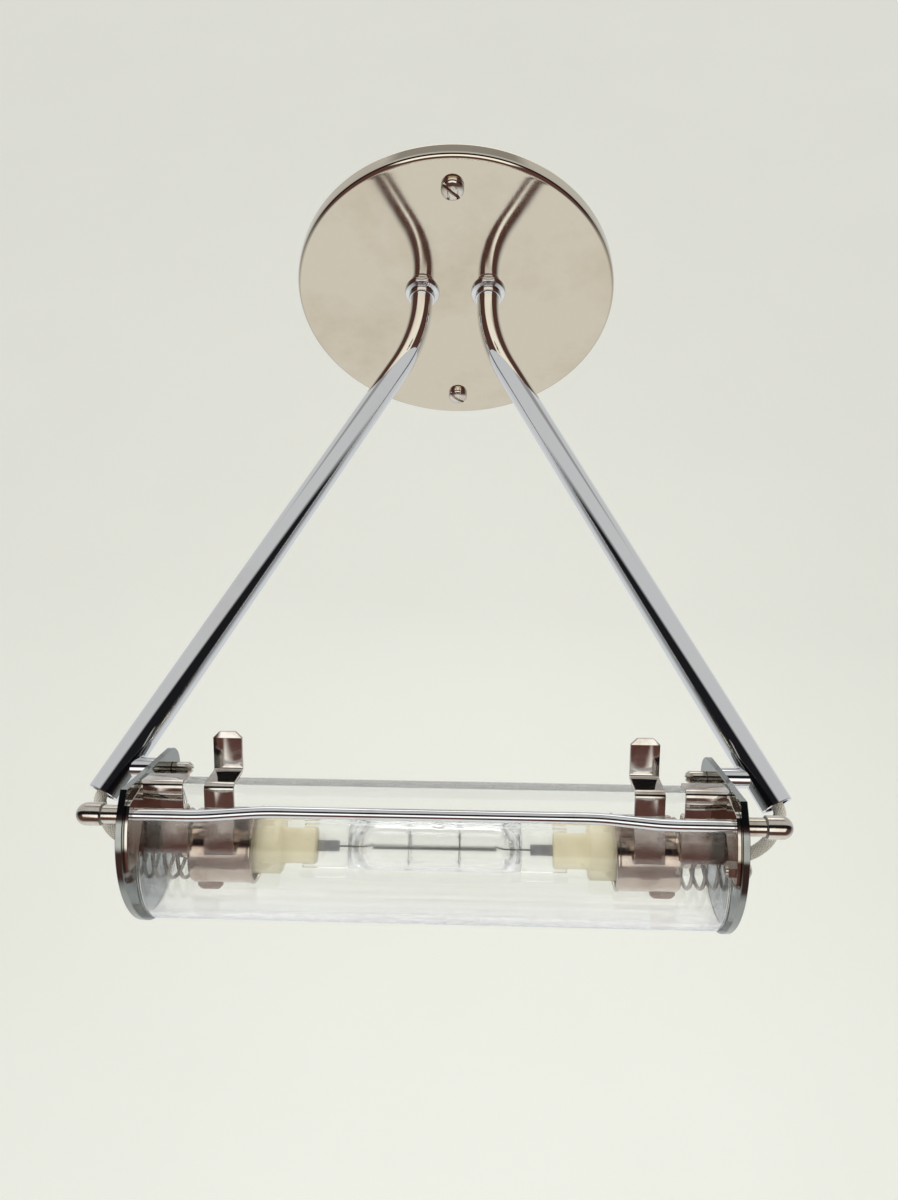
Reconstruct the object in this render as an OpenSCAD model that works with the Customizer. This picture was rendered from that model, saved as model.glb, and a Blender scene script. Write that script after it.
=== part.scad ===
// Ceiling lamp: a shallow round canopy, two splayed tube arms and a tilting clear glass head
// that holds one double-ended lamp between two sprung holders.

/* [Canopy] */
// Outer diameter of the canopy
canopy_d = 129; // [118:1:160]
// Depth of the canopy from the ceiling to its face
canopy_h = 6.2; // [6:0.1:12]
// Sheet thickness of the canopy
canopy_wall = 1.2; // [0.8:0.1:2]
// Radius of the rounded rim around the face
canopy_edge_r = 2; // [1:0.1:3]
// Distance of each face screw from the edge of the canopy
screw_inset = 12.5; // [11:0.1:20]
// Thread diameter of the face screws
screw_d = 5; // [4:0.5:6]
// Head diameter of the face screws
screw_head_d = 8.5; // [7:0.1:11]
// Head height of the face screws
screw_head_h = 3.3; // [2:0.1:4]

/* [Ceiling bar] */
// Width of the bar behind the canopy
bar_w = 18; // [12:1:20]
// Thickness of the bar
bar_t = 2.2; // [1.5:0.1:2.2]
// Gap between an end of the bar and the rim of the canopy
bar_gap = 3.3; // [2:0.1:4]
// Distance between the middles of the two ceiling fixing slots
fixing_spacing = 60; // [40:1:80]
// Width of the ceiling fixing slots
fixing_slot_w = 5; // [4:0.1:6]
// Length of the ceiling fixing slots from end to end
fixing_slot_l = 12; // [6:0.5:14]
// Thread diameter of the earth screw
earth_screw_d = 4; // [3:0.5:5]
// Distance of the earth screw from the middle of the bar
earth_screw_offset = 15; // [10:1:20]

/* [Arms] */
// Distance between the two arms at the canopy
arm_spacing = 26.8; // [24:0.1:40]
// Distance of both arms in front of the middle of the canopy
arm_front = 6; // [0:0.5:12]
// Outer diameter of the arm tube
arm_d = 9; // [7:0.1:11]
// Wall of the arm tube
arm_wall = 1; // [0.6:0.1:1.5]
// Height from the ceiling down to the corner where an arm turns outward
arm_corner_drop = 32.96; // [28:0.01:45]
// Radius of the bend below the canopy
arm_bend_r = 85; // [50:1:95]
// Length of arm left below the tilt axis
arm_tail = 7.9; // [6:0.1:12]
// Diameter of the collar flange on the canopy face
collar_d = 14; // [13:0.1:18]
// Thickness of the collar flange
collar_flange_h = 2; // [1:0.1:2.5]
// Diameter of the collar barrel
collar_barrel_d = 10.6; // [10:0.1:14]
// Height of the collar barrel below its flange
collar_barrel_h = 3; // [1:0.1:4]
// Width over the flats of the nut inside the canopy
lock_nut_w = 14; // [13:0.5:16]
// Thickness of the nut inside the canopy
lock_nut_h = 2.2; // [1.5:0.1:2.4]

/* [Tilting head] */
// Height from the ceiling down to the tilt axis
head_drop = 208.8; // [196:0.1:220]
// How far the outer face of an end plate stands past the end of the lamp
plate_past_lamp = 19.2; // [18.6:0.1:20]
// Tilt of the head at rest, the open side toward the front
head_tilt = 39.2; // [0:0.1:60]
// Thickness of an end plate
plate_t = 1.8; // [1.2:0.1:3]
// Radius of the round part of an end plate
plate_r = 28; // [27:0.1:32]
// Height of the straight edge above the middle of the round
plate_flat = 16; // [15:0.1:18]
// Radius of the rounded tip around the tilt axis
tip_r = 5.7; // [5:0.1:7]
// Place of the tilt axis along the straight edge
tip_along = 8.6; // [7:0.1:10]
// Diameter of the pivot screw shank
pivot_d = 3; // [2.5:0.1:4]
// Diameter of the long pivot screw head
pivot_head_d = 3.6; // [3.4:0.1:6]
// Length of the pivot screw head
pivot_head_l = 5.5; // [3:0.1:7]
// Diameter of the spacer between plate and arm
spacer_d = 5.6; // [4.5:0.1:7]
// Distance from an end plate to the middle of the arm, bridged by the spacer
arm_stand_off = 13.32; // [11:0.01:16]

/* [Glass] */
// Outer diameter of the glass
glass_d = 40; // [38:0.5:42]
// Wall of the glass
glass_wall = 2.4; // [1.6:0.1:3]
// Height of the middle of the round above the lamp axis
glass_drop = 8.5; // [7:0.1:9]
// Angle of the open side of the glass
glass_opening = 84; // [80:1:100]

/* [Tie rod] */
// Diameter of the tie rod
rod_d = 3; // [2:0.1:4]
// Distance of the rod in front of the lamp axis
rod_front = 22.5; // [22:0.1:23]
// Height of the rod above the middle of the round
rod_up = 9.2; // [8:0.1:10]
// Upward step of the middle of the rod
rod_step = 1.4; // [0:0.1:3]
// Length of the slanted stretch at each step
rod_step_l = 16; // [8:1:20]
// Distance from an end plate to the slanted stretch
rod_step_in = 18.2; // [12:0.1:24]
// Diameter of the cap nut
cap_nut_d = 5.8; // [5:0.1:7]
// Length of the round-ended part of the cap nut
cap_nut_l = 7; // [5:0.1:9]
// Diameter of the neck of the cap nut
cap_neck_d = 4.6; // [4:0.1:6]
// Length of the neck of the cap nut
cap_neck_l = 4.6; // [2:0.1:6]

/* [Lamp holders] */
// Outer diameter of the holder cup
cup_d = 20.4; // [19:0.1:20.6]
// Length of the holder cup
cup_l = 17.3; // [15:0.1:18]
// Wall of the holder cup
cup_wall = 0.8; // [0.5:0.1:1.2]
// Height of the rolled bead at the cup mouth
cup_bead = 0.6; // [0.3:0.1:1]
// Free length between cup and end plate, filled by the spring
spring_l = 10.4; // [9.6:0.1:12]
// Wire diameter of the spring
spring_wire = 1.1; // [0.8:0.1:1.3]
// Outer diameter of the spring
spring_d = 19.4; // [17:0.1:19.6]
// Number of turns of the spring
spring_turns = 3; // [2:0.5:4]
// Travel of a holder toward its end plate
holder_travel = 3.5; // [2:0.1:3.5]
// Outer diameter of the hollow guide
guide_d = 6; // [5:0.1:7]
// Bore of the hollow guide
guide_bore = 4.4; // [4:0.1:4.8]
// Length of the bush on the back of the cup
bush_l = 6; // [4:0.1:6.4]
// Thickness of the ceramic disc in the cup
insulator_t = 4.6; // [2:0.1:5]

/* [Sheet strips] */
// Sheet thickness of brackets and finger straps
strip_t = 1; // [0.8:0.1:1.2]
// Width of a finger strap along the lamp
strap_w = 8; // [6:0.1:9]
// Distance from the back of the cup to the strap
strap_set_back = 5; // [4:0.1:6]
// Gap between a pulled strap and the bracket beside it
strap_gap = 0.5; // [0.3:0.1:1]
// Height of the finger tab above the middle of the round
tab_top = 24.7; // [23:0.1:27]
// Distance of the finger tab behind the lamp axis, negative in front of it
tab_back = -1.5; // [-3:0.1:1]
// Height of the top run of the strap at its front corner
strap_top = 12.8; // [11:0.1:14]
// Rise of the top run toward the finger tab
strap_rise = 0.8; // [0:0.1:2]
// Distance of the front legs in front of the lamp axis
leg_front = 10.8; // [10.7:0.1:11]
// Depth of the front legs below the middle of the round
leg_down = 6.1; // [5:0.1:6.4]
// Height of the top of the bracket above the middle of the round
bracket_top = 15.5; // [15:0.1:17]
// Distance of the bracket's front face in front of the lamp axis
bracket_front = 15.3; // [14.6:0.1:16]

/* [Lamp] */
// Overall length of the lamp over its ceramic ends
lamp_l = 117.6; // [110:0.1:130]
// Outer diameter of the quartz chamber
quartz_d = 12.5; // [10:0.1:12.6]
// Wall of the quartz chamber
quartz_wall = 1; // [0.8:0.1:1.5]
// Length of the round quartz chamber
chamber_l = 45.2; // [36:0.1:50]
// Thickness of the flat quartz seals
seal_t = 3.2; // [2.4:0.1:4]
// Height of the flat quartz seals
seal_h = 11.8; // [8:0.1:12]
// Turn of the flat seals toward the front
lamp_turn = 24; // [0:1:90]

/* [Leads] */
// Outer diameter of the sleeved lead
lead_d = 3.4; // [2.4:0.1:4]

/* [Part] */
// Sub-part to draw

/* [Hidden] */

$fn = 64;
e = 0.01;
// Colours
chrome = [0.78, 0.79, 0.81];
nickel = [0.80, 0.77, 0.71];
steel = [0.66, 0.67, 0.68];
ceramic = [0.93, 0.90, 0.80];
quartz = [0.92, 0.94, 0.95, 0.35];
clear = [0.90, 0.94, 0.93, 0.30];
tungsten = [0.35, 0.34, 0.33];
sleeve = [0.88, 0.84, 0.76];

// Clearances
seat_gap = 0.05;
slide_gap = 0.05;
pivot_gap = 0.06;
axial_gap = 0.2;
lip_gap = 0.6;

// Places along the head, measured from its middle
plate_out = lamp_l / 2 + plate_past_lamp;
plate_in = plate_out - plate_t;
cup_back = plate_in - spring_l;
cup_mouth = cup_back - cup_l;
strap_out = cup_back - strap_set_back;
strap_in = strap_out - strap_w;
bracket_in = strap_out + holder_travel + strap_gap;

// Places across the head, measured from the middle of the round part of the plates
pivot_y = tip_along;
pivot_z = plate_flat - tip_r;
axis_z = -glass_drop;
glass_r = glass_d / 2;

// Arm line
arm_x = arm_spacing / 2;
pivot_x = plate_out + arm_stand_off;
elbow_z = -arm_corner_drop;
arm_splay = atan2(pivot_x - arm_x, head_drop - arm_corner_drop);
bend_run = arm_bend_r * tan(arm_splay / 2);
arm_top = -bar_t - 0.4;
arm_below = arm_tail / cos(arm_splay);
arm_line_l = (head_drop + elbow_z) / cos(arm_splay) + arm_below;

// Points of the right lead's loop between the end of the arm and the head, from the point where
// the arm's line meets the tilt axis
lead_loop = [[3.28, 1.2, -12.2], [0.08, 4, -17.2], [-5.72, 6.2, -20.1]];
// Stretch of lead before the end of the arm that already follows the loop's smooth curve
lead_ease = 24;
lead_sides = 8;

// Moves what is drawn around the arms to their place in front of the middle of the canopy
module front() {
    translate([0, -arm_front, 0]) children();
}

module mirrored(left) {
    mirror([left ? 1 : 0, 0, 0]) children();
}

module head() {
    front() translate([0, 0, -head_drop]) rotate([head_tilt, 0, 0])
        translate([0, -pivot_y, -pivot_z]) children();
}

// A profile drawn across the head, standing from x0 to x1 along it
module along(x0, x1) {
    translate([x0, 0, 0]) rotate([90, 0, 90]) linear_extrude(x1 - x0) children();
}

module rod_x(d, x0, x1, y = 0, z = 0, d2 = undef) {
    translate([x0, y, z]) rotate([0, 90, 0])
        cylinder(h = x1 - x0, d1 = d, d2 = is_undef(d2) ? d : d2);
}

module slot_cut(head_d, width, depth) {
    translate([-head_d, -width / 2, -e]) cube([2 * head_d, width, depth + e]);
}

screw_y = canopy_d / 2 - screw_inset;

module canopy() {
    r = canopy_d / 2;
    color(nickel) translate([0, 0, -canopy_h]) difference() {
        rotate_extrude($fn = 128) union() {
            square([r - canopy_edge_r, canopy_wall]);
            difference() {
                union() {
                    translate([r - canopy_edge_r, canopy_edge_r]) circle(canopy_edge_r);
                    translate([r - canopy_wall, canopy_edge_r])
                        square([canopy_wall, canopy_h - canopy_edge_r]);
                }
                translate([0, canopy_wall]) square([r - canopy_wall, canopy_h]);
            }
        }
        for (s = [-1, 1]) {
            translate([s * arm_x, -arm_front, -e])
                cylinder(h = canopy_wall + 2 * e, d = arm_d + 2 * seat_gap);
            translate([0, s * screw_y, -e])
                cylinder(h = canopy_wall + 2 * e, d = screw_d + 4 * seat_gap);
        }
    }
}

module canopy_screws() {
    color(nickel) for (s = [-1, 1]) translate([0, s * screw_y, -canopy_h - screw_head_h])
        rotate([0, 0, 40]) difference() {
            union() {
                cylinder(h = screw_head_h, d = screw_head_d);
                cylinder(h = screw_head_h + canopy_h - 0.3, d = screw_d);
            }
            slot_cut(screw_head_d, screw_d / 4, screw_head_h / 2);
        }
}

module crossbar() {
    l = canopy_d - 2 * canopy_wall - 2 * bar_gap;
    color(steel) translate([0, 0, -bar_t]) difference() {
        translate([-bar_w / 2, -l / 2, 0]) cube([bar_w, l, bar_t]);
        for (s = [-1, 1]) {
            translate([0, s * screw_y, -e]) cylinder(h = bar_t + 2 * e, d = screw_d + 2 * seat_gap);
            for (t = [-1, 1])
                translate([0, s * fixing_spacing / 2 + t * (fixing_slot_l - fixing_slot_w) / 2, -e])
                    cylinder(h = bar_t + 2 * e, d = fixing_slot_w);
            translate([-fixing_slot_w / 2, s * fixing_spacing / 2 - (fixing_slot_l - fixing_slot_w) / 2, -e])
                cube([fixing_slot_w, fixing_slot_l - fixing_slot_w, bar_t + 2 * e]);
        }
        translate([0, earth_screw_offset, -e])
            cylinder(h = bar_t + 2 * e, d = earth_screw_d + 2 * seat_gap);
    }
}

module earth_screw() {
    head_d = 1.8 * earth_screw_d;
    washer_t = 0.6;
    head_h = 1.4;
    color(steel) translate([0, earth_screw_offset, -bar_t - washer_t - head_h]) difference() {
        union() {
            cylinder(h = head_h, d = head_d);
            translate([0, 0, head_h - e]) cylinder(h = washer_t + e, d = 1.2 * head_d);
            cylinder(h = head_h + washer_t + bar_t - 0.2, d = earth_screw_d);
        }
        slot_cut(head_d, earth_screw_d / 4, head_h / 2);
    }
}

module collar(left) {
    color(chrome) mirrored(left) front() translate([arm_x, 0, -canopy_h]) rotate([180, 0, 0])
        difference() {
            union() {
                cylinder(h = collar_flange_h / 2, d = collar_d);
                translate([0, 0, collar_flange_h / 2])
                    cylinder(h = collar_flange_h / 2, d1 = collar_d, d2 = collar_barrel_d);
                cylinder(h = collar_flange_h + collar_barrel_h, d = collar_barrel_d);
            }
            translate([0, 0, -e])
                cylinder(h = collar_flange_h + collar_barrel_h + 2 * e, d = arm_d + 2 * seat_gap);
        }
}

module lock_nuts() {
    color(steel) front() for (s = [-1, 1]) translate([s * arm_x, 0, -canopy_h + canopy_wall])
        difference() {
            cylinder(h = lock_nut_h, d = lock_nut_w / cos(30), $fn = 6);
            translate([0, 0, -e]) cylinder(h = lock_nut_h + 2 * e, d = arm_d + 2 * seat_gap);
        }
}

// The bend laps over the straight stretches by an angle and is wider by a hair
bend_lap = 0.5;
bend_swell = 0.04;

// The line of an arm swept by a round of diameter d, with over added at both ends
module arm_line(d, over = 0) {
    translate([arm_x, 0, elbow_z + bend_run]) cylinder(h = arm_top - elbow_z - bend_run + over, d = d);
    translate([arm_x + arm_bend_r, 0, elbow_z + bend_run]) rotate([90, 0, 0])
        rotate([0, 0, 180 - bend_lap]) rotate_extrude(angle = arm_splay + 2 * bend_lap, $fn = 256)
            translate([arm_bend_r, 0]) circle(d = d + bend_swell, $fn = 64);
    translate([arm_x, 0, elbow_z]) rotate([0, 180 - arm_splay, 0])
        translate([0, 0, bend_run]) cylinder(h = arm_line_l - bend_run + over, d = d);
}

module arm(left) {
    color(chrome) front() mirrored(left) difference() {
        arm_line(arm_d);
        arm_line(arm_d - 2 * arm_wall, e);
        rod_x(pivot_d + 2 * seat_gap, pivot_x - arm_d, pivot_x, 0, -head_drop);
    }
}

module spacer(left) {
    color(chrome) front() mirrored(left) difference() {
        rod_x(spacer_d, plate_out + axial_gap, pivot_x, 0, -head_drop);
        rod_x(pivot_d + 2 * seat_gap, plate_out, pivot_x + 1, 0, -head_drop);
        translate([arm_x, 0, elbow_z]) rotate([0, 180 - arm_splay, 0])
            cylinder(h = arm_line_l, d = arm_d);
    }
}

module pivot_screws() {
    head_x = plate_in - axial_gap;
    tip = pivot_x - (arm_d / 2 - arm_wall) / cos(arm_splay) - 0.3;
    color(nickel) front() for (left = [true, false]) mirrored(left) difference() {
        union() {
            rod_x(pivot_d, head_x - e, tip, 0, -head_drop);
            rod_x(pivot_head_d, head_x - pivot_head_l + pivot_head_d / 4, head_x, 0, -head_drop);
            rod_x(pivot_head_d * 0.6, head_x - pivot_head_l,
                head_x - pivot_head_l + pivot_head_d / 4 + e, 0, -head_drop, pivot_head_d);
        }
        translate([head_x - pivot_head_l - e, -pivot_head_d, -head_drop - pivot_head_d / 10])
            cube([pivot_head_l / 3, 2 * pivot_head_d, pivot_head_d / 5]);
    }
}

// Rings of a round tube along a list of points, with least twist
function unit(v) = v / norm(v);
function tangents(p) = [for (i = [0 : len(p) - 1])
    i == 0 ? unit(p[1] - p[0])
    : i == len(p) - 1 ? unit(p[i] - p[i - 1])
    : unit(unit(p[i + 1] - p[i]) + unit(p[i] - p[i - 1]))];
function turned(v, t) = unit(v - (v * t) * t);
function normals(t, first) = [for (i = 0, v = turned(first, t[0]); i < len(t);
    i = i + 1, v = i < len(t) ? turned(v, t[i]) : v) v];

module tube_path(p, d, sides, first) {
    t = tangents(p);
    n = normals(t, first);
    k = len(p);
    pts = [for (i = [0 : k - 1]) let (b = cross(t[i], n[i])) for (j = [0 : sides - 1])
        p[i] + d / 2 * (cos(360 * j / sides) * n[i] + sin(360 * j / sides) * b)];
    ends = [p[0], p[k - 1]];
    faces = concat(
        [for (i = [0 : k - 2]) for (j = [0 : sides - 1]) let (a = i * sides + j,
            b = i * sides + (j + 1) % sides) each [[a, a + sides, b], [b, a + sides, b + sides]]],
        [for (j = [0 : sides - 1]) [k * sides, j, (j + 1) % sides]],
        [for (j = [0 : sides - 1]) [k * sides + 1, (k - 1) * sides + (j + 1) % sides, (k - 1) * sides + j]]);
    polyhedron(concat(pts, ends), faces, convexity = 6);
}

// A smooth curve through points a, b, c, d between b and c
function spline(a, b, c, d, u) = 0.5 * (2 * b + (c - a) * u + (2 * a - 5 * b + 4 * c - d) * u * u
    + (3 * b - a - 3 * c + d) * u * u * u);
function head_point(x, y, z) = let (a = head_tilt, dy = y - pivot_y, dz = z - pivot_z)
    [x, dy * cos(a) - dz * sin(a), -head_drop + dy * sin(a) + dz * cos(a)];

function arm_point(s) = [arm_x + s * sin(arm_splay), 0, elbow_z - s * cos(arm_splay)];
lead_end = head_point(cup_back + bush_l, 0, axis_z);
lead_entry = head_point(plate_out + 1, 0, axis_z);
lead_knots = concat(
    [arm_point(arm_line_l - lead_ease), arm_point(arm_line_l - lead_ease / 3), arm_point(arm_line_l + 1)],
    [for (p = lead_loop) p + [pivot_x, 0, -head_drop]], [lead_entry, lead_end, lead_end - [12, 0, 0]]);
lead_route = concat(
    [[arm_x, 0, arm_top - 0.2], [arm_x, 0, elbow_z + bend_run + 1]],
    [for (u = [0.25 : 0.25 : 0.75]) let (a = u * arm_splay) [arm_x + arm_bend_r * (1 - cos(a)), 0,
        elbow_z + bend_run - arm_bend_r * sin(a)]],
    [arm_point(bend_run + 2), arm_point(arm_line_l - lead_ease)],
    [for (i = [1 : len(lead_knots) - 3]) for (u = [0 : 0.25 : 0.75])
        spline(lead_knots[i - 1], lead_knots[i], lead_knots[i + 1], lead_knots[i + 2], u)],
    [lead_end]);

module lead(left) {
    color(sleeve) front() mirrored(left) tube_path(lead_route, lead_d, lead_sides, [0, 1, 0]);
}

// The end plate is the same on both sides of the line through its tip
tip_angle = atan2(pivot_z, pivot_y);
function over_tip(p) = [p[0] * cos(2 * tip_angle) + p[1] * sin(2 * tip_angle),
    p[0] * sin(2 * tip_angle) - p[1] * cos(2 * tip_angle)];

module both_edges() {
    children();
    rotate(tip_angle) mirror([0, 1]) rotate(-tip_angle) children();
}

module plate_outline() {
    big = 2 * plate_r;
    tip = [pivot_y, pivot_z];
    up = [pivot_y, plate_flat];
    difference() {
        circle(plate_r, $fn = 128);
        both_edges() translate([-big, plate_flat]) square([2 * big, big]);
        polygon([tip, up, 1.2 * [plate_flat / tan(tip_angle), plate_flat], over_tip(up)]);
    }
    translate(tip) circle(tip_r);
}

module end_plate(left) {
    color(chrome) mirrored(left) head() difference() {
        along(plate_in, plate_out) plate_outline();
        rod_x(pivot_d + 2 * pivot_gap, plate_in - e, plate_out + e, pivot_y, pivot_z);
        rod_x(rod_d + 2 * seat_gap, plate_in - e, plate_out + e, -rod_front, rod_up);
        rod_x(guide_d + 2 * seat_gap, plate_in - e, plate_out + e, 0, axis_z);
        if (!left) plate_screw_shank(plate_in - e, plate_out + e, 2 * seat_gap);
    }
}

plate_screw_y = -24.3;
plate_screw_z = -1.2;
plate_screw_d = 2.5;
module plate_screw_shank(x0, x1, more = 0) {
    rod_x(plate_screw_d + more, x0, x1, plate_screw_y, plate_screw_z);
}

// Half of the tie rod's line, from its end inward, with both corners of the step eased
rod_ease = 1.2;
rod_rise = rod_ease * rod_step / rod_step_l;
rod_half = let (outer = plate_in - rod_step_in, inner = outer - rod_step_l, top = rod_up + rod_step) [
    [plate_out + cap_neck_l + cap_nut_l / 2, rod_up], [outer + rod_ease, rod_up],
    [outer - rod_ease, rod_up + rod_rise], [inner + rod_ease, top - rod_rise], [inner - rod_ease, top]];
rod_route = concat([for (p = rod_half) [p[0], -rod_front, p[1]]],
    [for (i = [len(rod_half) - 1 : -1 : 0]) [-rod_half[i][0], -rod_front, rod_half[i][1]]]);

module tie_rod() {
    color(chrome) head() tube_path(rod_route, rod_d, 12, [0, 1, 0]);
}

module cap_nuts() {
    neck = plate_out + cap_neck_l;
    round_x = neck + cap_nut_l - cap_nut_d / 2;
    color(nickel) head() for (left = [true, false]) mirrored(left) difference() {
        union() {
            rod_x(cap_neck_d, plate_out, neck + e, -rod_front, rod_up);
            rod_x(cap_nut_d, neck, round_x, -rod_front, rod_up);
            translate([round_x, -rod_front, rod_up]) sphere(d = cap_nut_d);
        }
        rod_x(rod_d + 2 * seat_gap, plate_out - e, neck + cap_nut_l / 2 + e, -rod_front, rod_up);
    }
}

module glass_tube() {
    reach = glass_d * 1.2;
    half = glass_opening / 2;
    color(clear) head() translate([0, 0, axis_z]) difference() {
        rod_x(glass_d, -plate_in, plate_in);
        rod_x(glass_d - 2 * glass_wall, -plate_in - e, plate_in + e);
        along(-plate_in - e, plate_in + e)
            polygon([[0, 0], reach * [sin(half), cos(half)], reach * [-sin(half), cos(half)]]);
    }
}

// Lip of the open side of the glass
lip_y = glass_r * sin(glass_opening / 2);
lip_z = axis_z + glass_r * cos(glass_opening / 2);
step_z = lip_z + lip_gap + strip_t / 2;

// A straight piece of sheet between two points across the head
module sheet(x0, x1, a, b, more = 0) {
    d = b - a;
    along(x0, x1) translate(a) rotate(atan2(d[1], d[0]))
        translate([-more, -strip_t / 2]) square([norm(d) + 2 * more, strip_t]);
}

module bracket(left) {
    h = strip_t / 2;
    flange_x = plate_in - strip_t;
    color(nickel) mirrored(left) head() union() {
        sheet(bracket_in, plate_in, [-bracket_front, bracket_top - h],
            [-0.68 * bracket_front, bracket_top - h], h);
        sheet(bracket_in, plate_in, [-bracket_front, bracket_top - h], [-bracket_front, step_z], h);
        sheet(bracket_in, plate_in, [-bracket_front, step_z], [-leg_front, step_z], h);
        sheet(bracket_in, plate_in, [-leg_front, step_z], [-leg_front, -leg_down], h);
        difference() {
            intersection() {
                rod_x(2 * plate_r - 2, flange_x, plate_in);
                along(flange_x, plate_in) polygon([[-plate_r, plate_screw_z - 3.2],
                    [-bracket_front, plate_screw_z - 3.2], [-bracket_front, bracket_top - strip_t],
                    [-plate_r, bracket_top - strip_t - 3]]);
            }
            rod_x(glass_d + 4 * lip_gap, flange_x - e, plate_in + e, 0, axis_z);
            rod_x(rod_d + 2 * seat_gap, flange_x - e, plate_in + e, -rod_front, rod_up);
            if (!left) plate_screw_shank(flange_x - e, plate_in + e, 2 * seat_gap);
        }
    }
}

module plate_screw() {
    head_d = 5.2;
    head_h = 1.6;
    nut_h = 1.8;
    nut_x = plate_in - strip_t - nut_h;
    ball_r = (head_d * head_d / 4 + head_h * head_h) / (2 * head_h);
    color(nickel) head() {
        plate_screw_shank(nut_x - 0.4, plate_out + e);
        translate([nut_x, plate_screw_y, plate_screw_z]) rotate([0, 90, 0])
            cylinder(h = nut_h, d = 1.8 * plate_screw_d, $fn = 6);
        translate([plate_out, plate_screw_y, plate_screw_z]) rotate([0, 90, 0]) rotate_extrude()
            intersection() {
                translate([0, head_h - ball_r]) circle(ball_r);
                square([head_d, head_h]);
            }
    }
}

guide_in = cup_back - cup_wall + holder_travel + 0.3;
module guide(left) {
    flare_t = 0.8;
    color(steel) mirrored(left) head() difference() {
        union() {
            rod_x(guide_d, guide_in, plate_out + e, 0, axis_z);
            rod_x(guide_d + 2, plate_out, plate_out + flare_t, 0, axis_z);
        }
        rod_x(guide_bore, cup_back, plate_out + flare_t + e, 0, axis_z);
    }
}

// Route of a compression spring around the lamp axis, turning from one end face to the other
spring_rings = 8;
spring_r = (spring_d - spring_wire) / 2;
spring_run = spring_l - 2 * spring_wire;
spring_route = concat([[cup_back, 0, spring_r]],
    [for (i = [0 : spring_turns * spring_rings]) let (a = 360 * i / spring_rings)
        [cup_back + spring_wire + spring_run * i / (spring_turns * spring_rings),
            spring_r * sin(a), spring_r * cos(a)]],
    [[plate_in, spring_r * sin(360 * spring_turns), spring_r * cos(360 * spring_turns)]]);
spring_points = len(spring_route);
spring_least_gap = min([for (i = [1 : spring_points - 2]) for (j = [i + spring_rings - 1 : spring_points - 2])
    if (j <= i + spring_rings + 1) norm(spring_route[i] - spring_route[j])]) - spring_wire;
echo(spring_least_gap = spring_least_gap);

module spring(left) {
    color(steel) mirrored(left) head() translate([0, 0, axis_z])
        tube_path(spring_route, spring_wire, 6, [0, 1, 0]);
}

module cup(left) {
    color(nickel) mirrored(left) head() difference() {
        union() {
            rod_x(cup_d, cup_mouth, cup_back, 0, axis_z);
            translate([cup_mouth + cup_bead, 0, axis_z]) rotate([0, 90, 0])
                rotate_extrude() translate([cup_d / 2 - cup_bead / 2, 0]) circle(cup_bead);
            rod_x(guide_d + 2, cup_back - e, cup_back + bush_l, 0, axis_z);
            cup_lug();
        }
        rod_x(cup_d - 2 * cup_wall, cup_mouth - e, cup_back - cup_wall, 0, axis_z);
        rod_x(guide_d + 2 * slide_gap, cup_back - cup_wall - e, cup_back + bush_l + e, 0, axis_z);
    }
}

module cup_lug() {
    lug_w = 7;
    lug_down = 3.1;
    chamfer = 1.2;
    foot = cup_d / 2 + lug_down;
    translate([cup_back - lug_w - 0.4, 0, axis_z]) rotate([90, 0, 0]) linear_extrude(strip_t)
        polygon([[0, -cup_d / 3], [0, -foot + chamfer], [chamfer, -foot], [lug_w - chamfer, -foot],
            [lug_w, -foot + chamfer], [lug_w, -cup_d / 3]]);
}

module insulator(left) {
    back = cup_back - cup_wall;
    color(ceramic) mirrored(left) head() difference() {
        rod_x(cup_d - 2 * cup_wall - 2 * seat_gap, back - insulator_t, back, 0, axis_z);
        rod_x(contact_stem_d + 2 * seat_gap, back - insulator_t - e, back + e, 0, axis_z);
    }
}

contact_stem_d = 1.8;
contact_head_d = 3.2;
recess_depth = 1.7;
recess_d = 4.6;
module contact(left) {
    back = cup_back - cup_wall;
    color(nickel) mirrored(left) head() {
        rod_x(contact_head_d, lamp_l / 2 - recess_depth + 0.3, back - insulator_t, 0, axis_z);
        rod_x(contact_stem_d, back - insulator_t - e, back + 1, 0, axis_z);
    }
}

module finger_strap(left) {
    h = strip_t / 2;
    chamfer = 1.7;
    back_z = strap_top + strap_rise;
    color(nickel) mirrored(left) head() difference() {
        union() {
            sheet(strap_in, strap_out, [-leg_front, strap_top], [tab_back, back_z], h);
            sheet(strap_in, strap_out, [-leg_front, strap_top], [-leg_front, -leg_down - h], h);
            sheet(strap_in, strap_out, [-leg_front, -leg_down - h], [-cup_d / 3, -leg_down - h], h);
            translate([strap_in, tab_back + h, 0]) rotate([90, 0, 0]) linear_extrude(strip_t)
                polygon([[0, back_z], [0, tab_top - chamfer], [chamfer, tab_top],
                    [strap_w - chamfer, tab_top], [strap_w, tab_top - chamfer], [strap_w, back_z]]);
        }
        rod_x(cup_d, strap_in - 1, strap_out + 1, 0, axis_z);
    }
}

module lamp() {
    head() translate([0, 0, axis_z]) rotate([-lamp_turn, 0, 0]) children();
}

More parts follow.
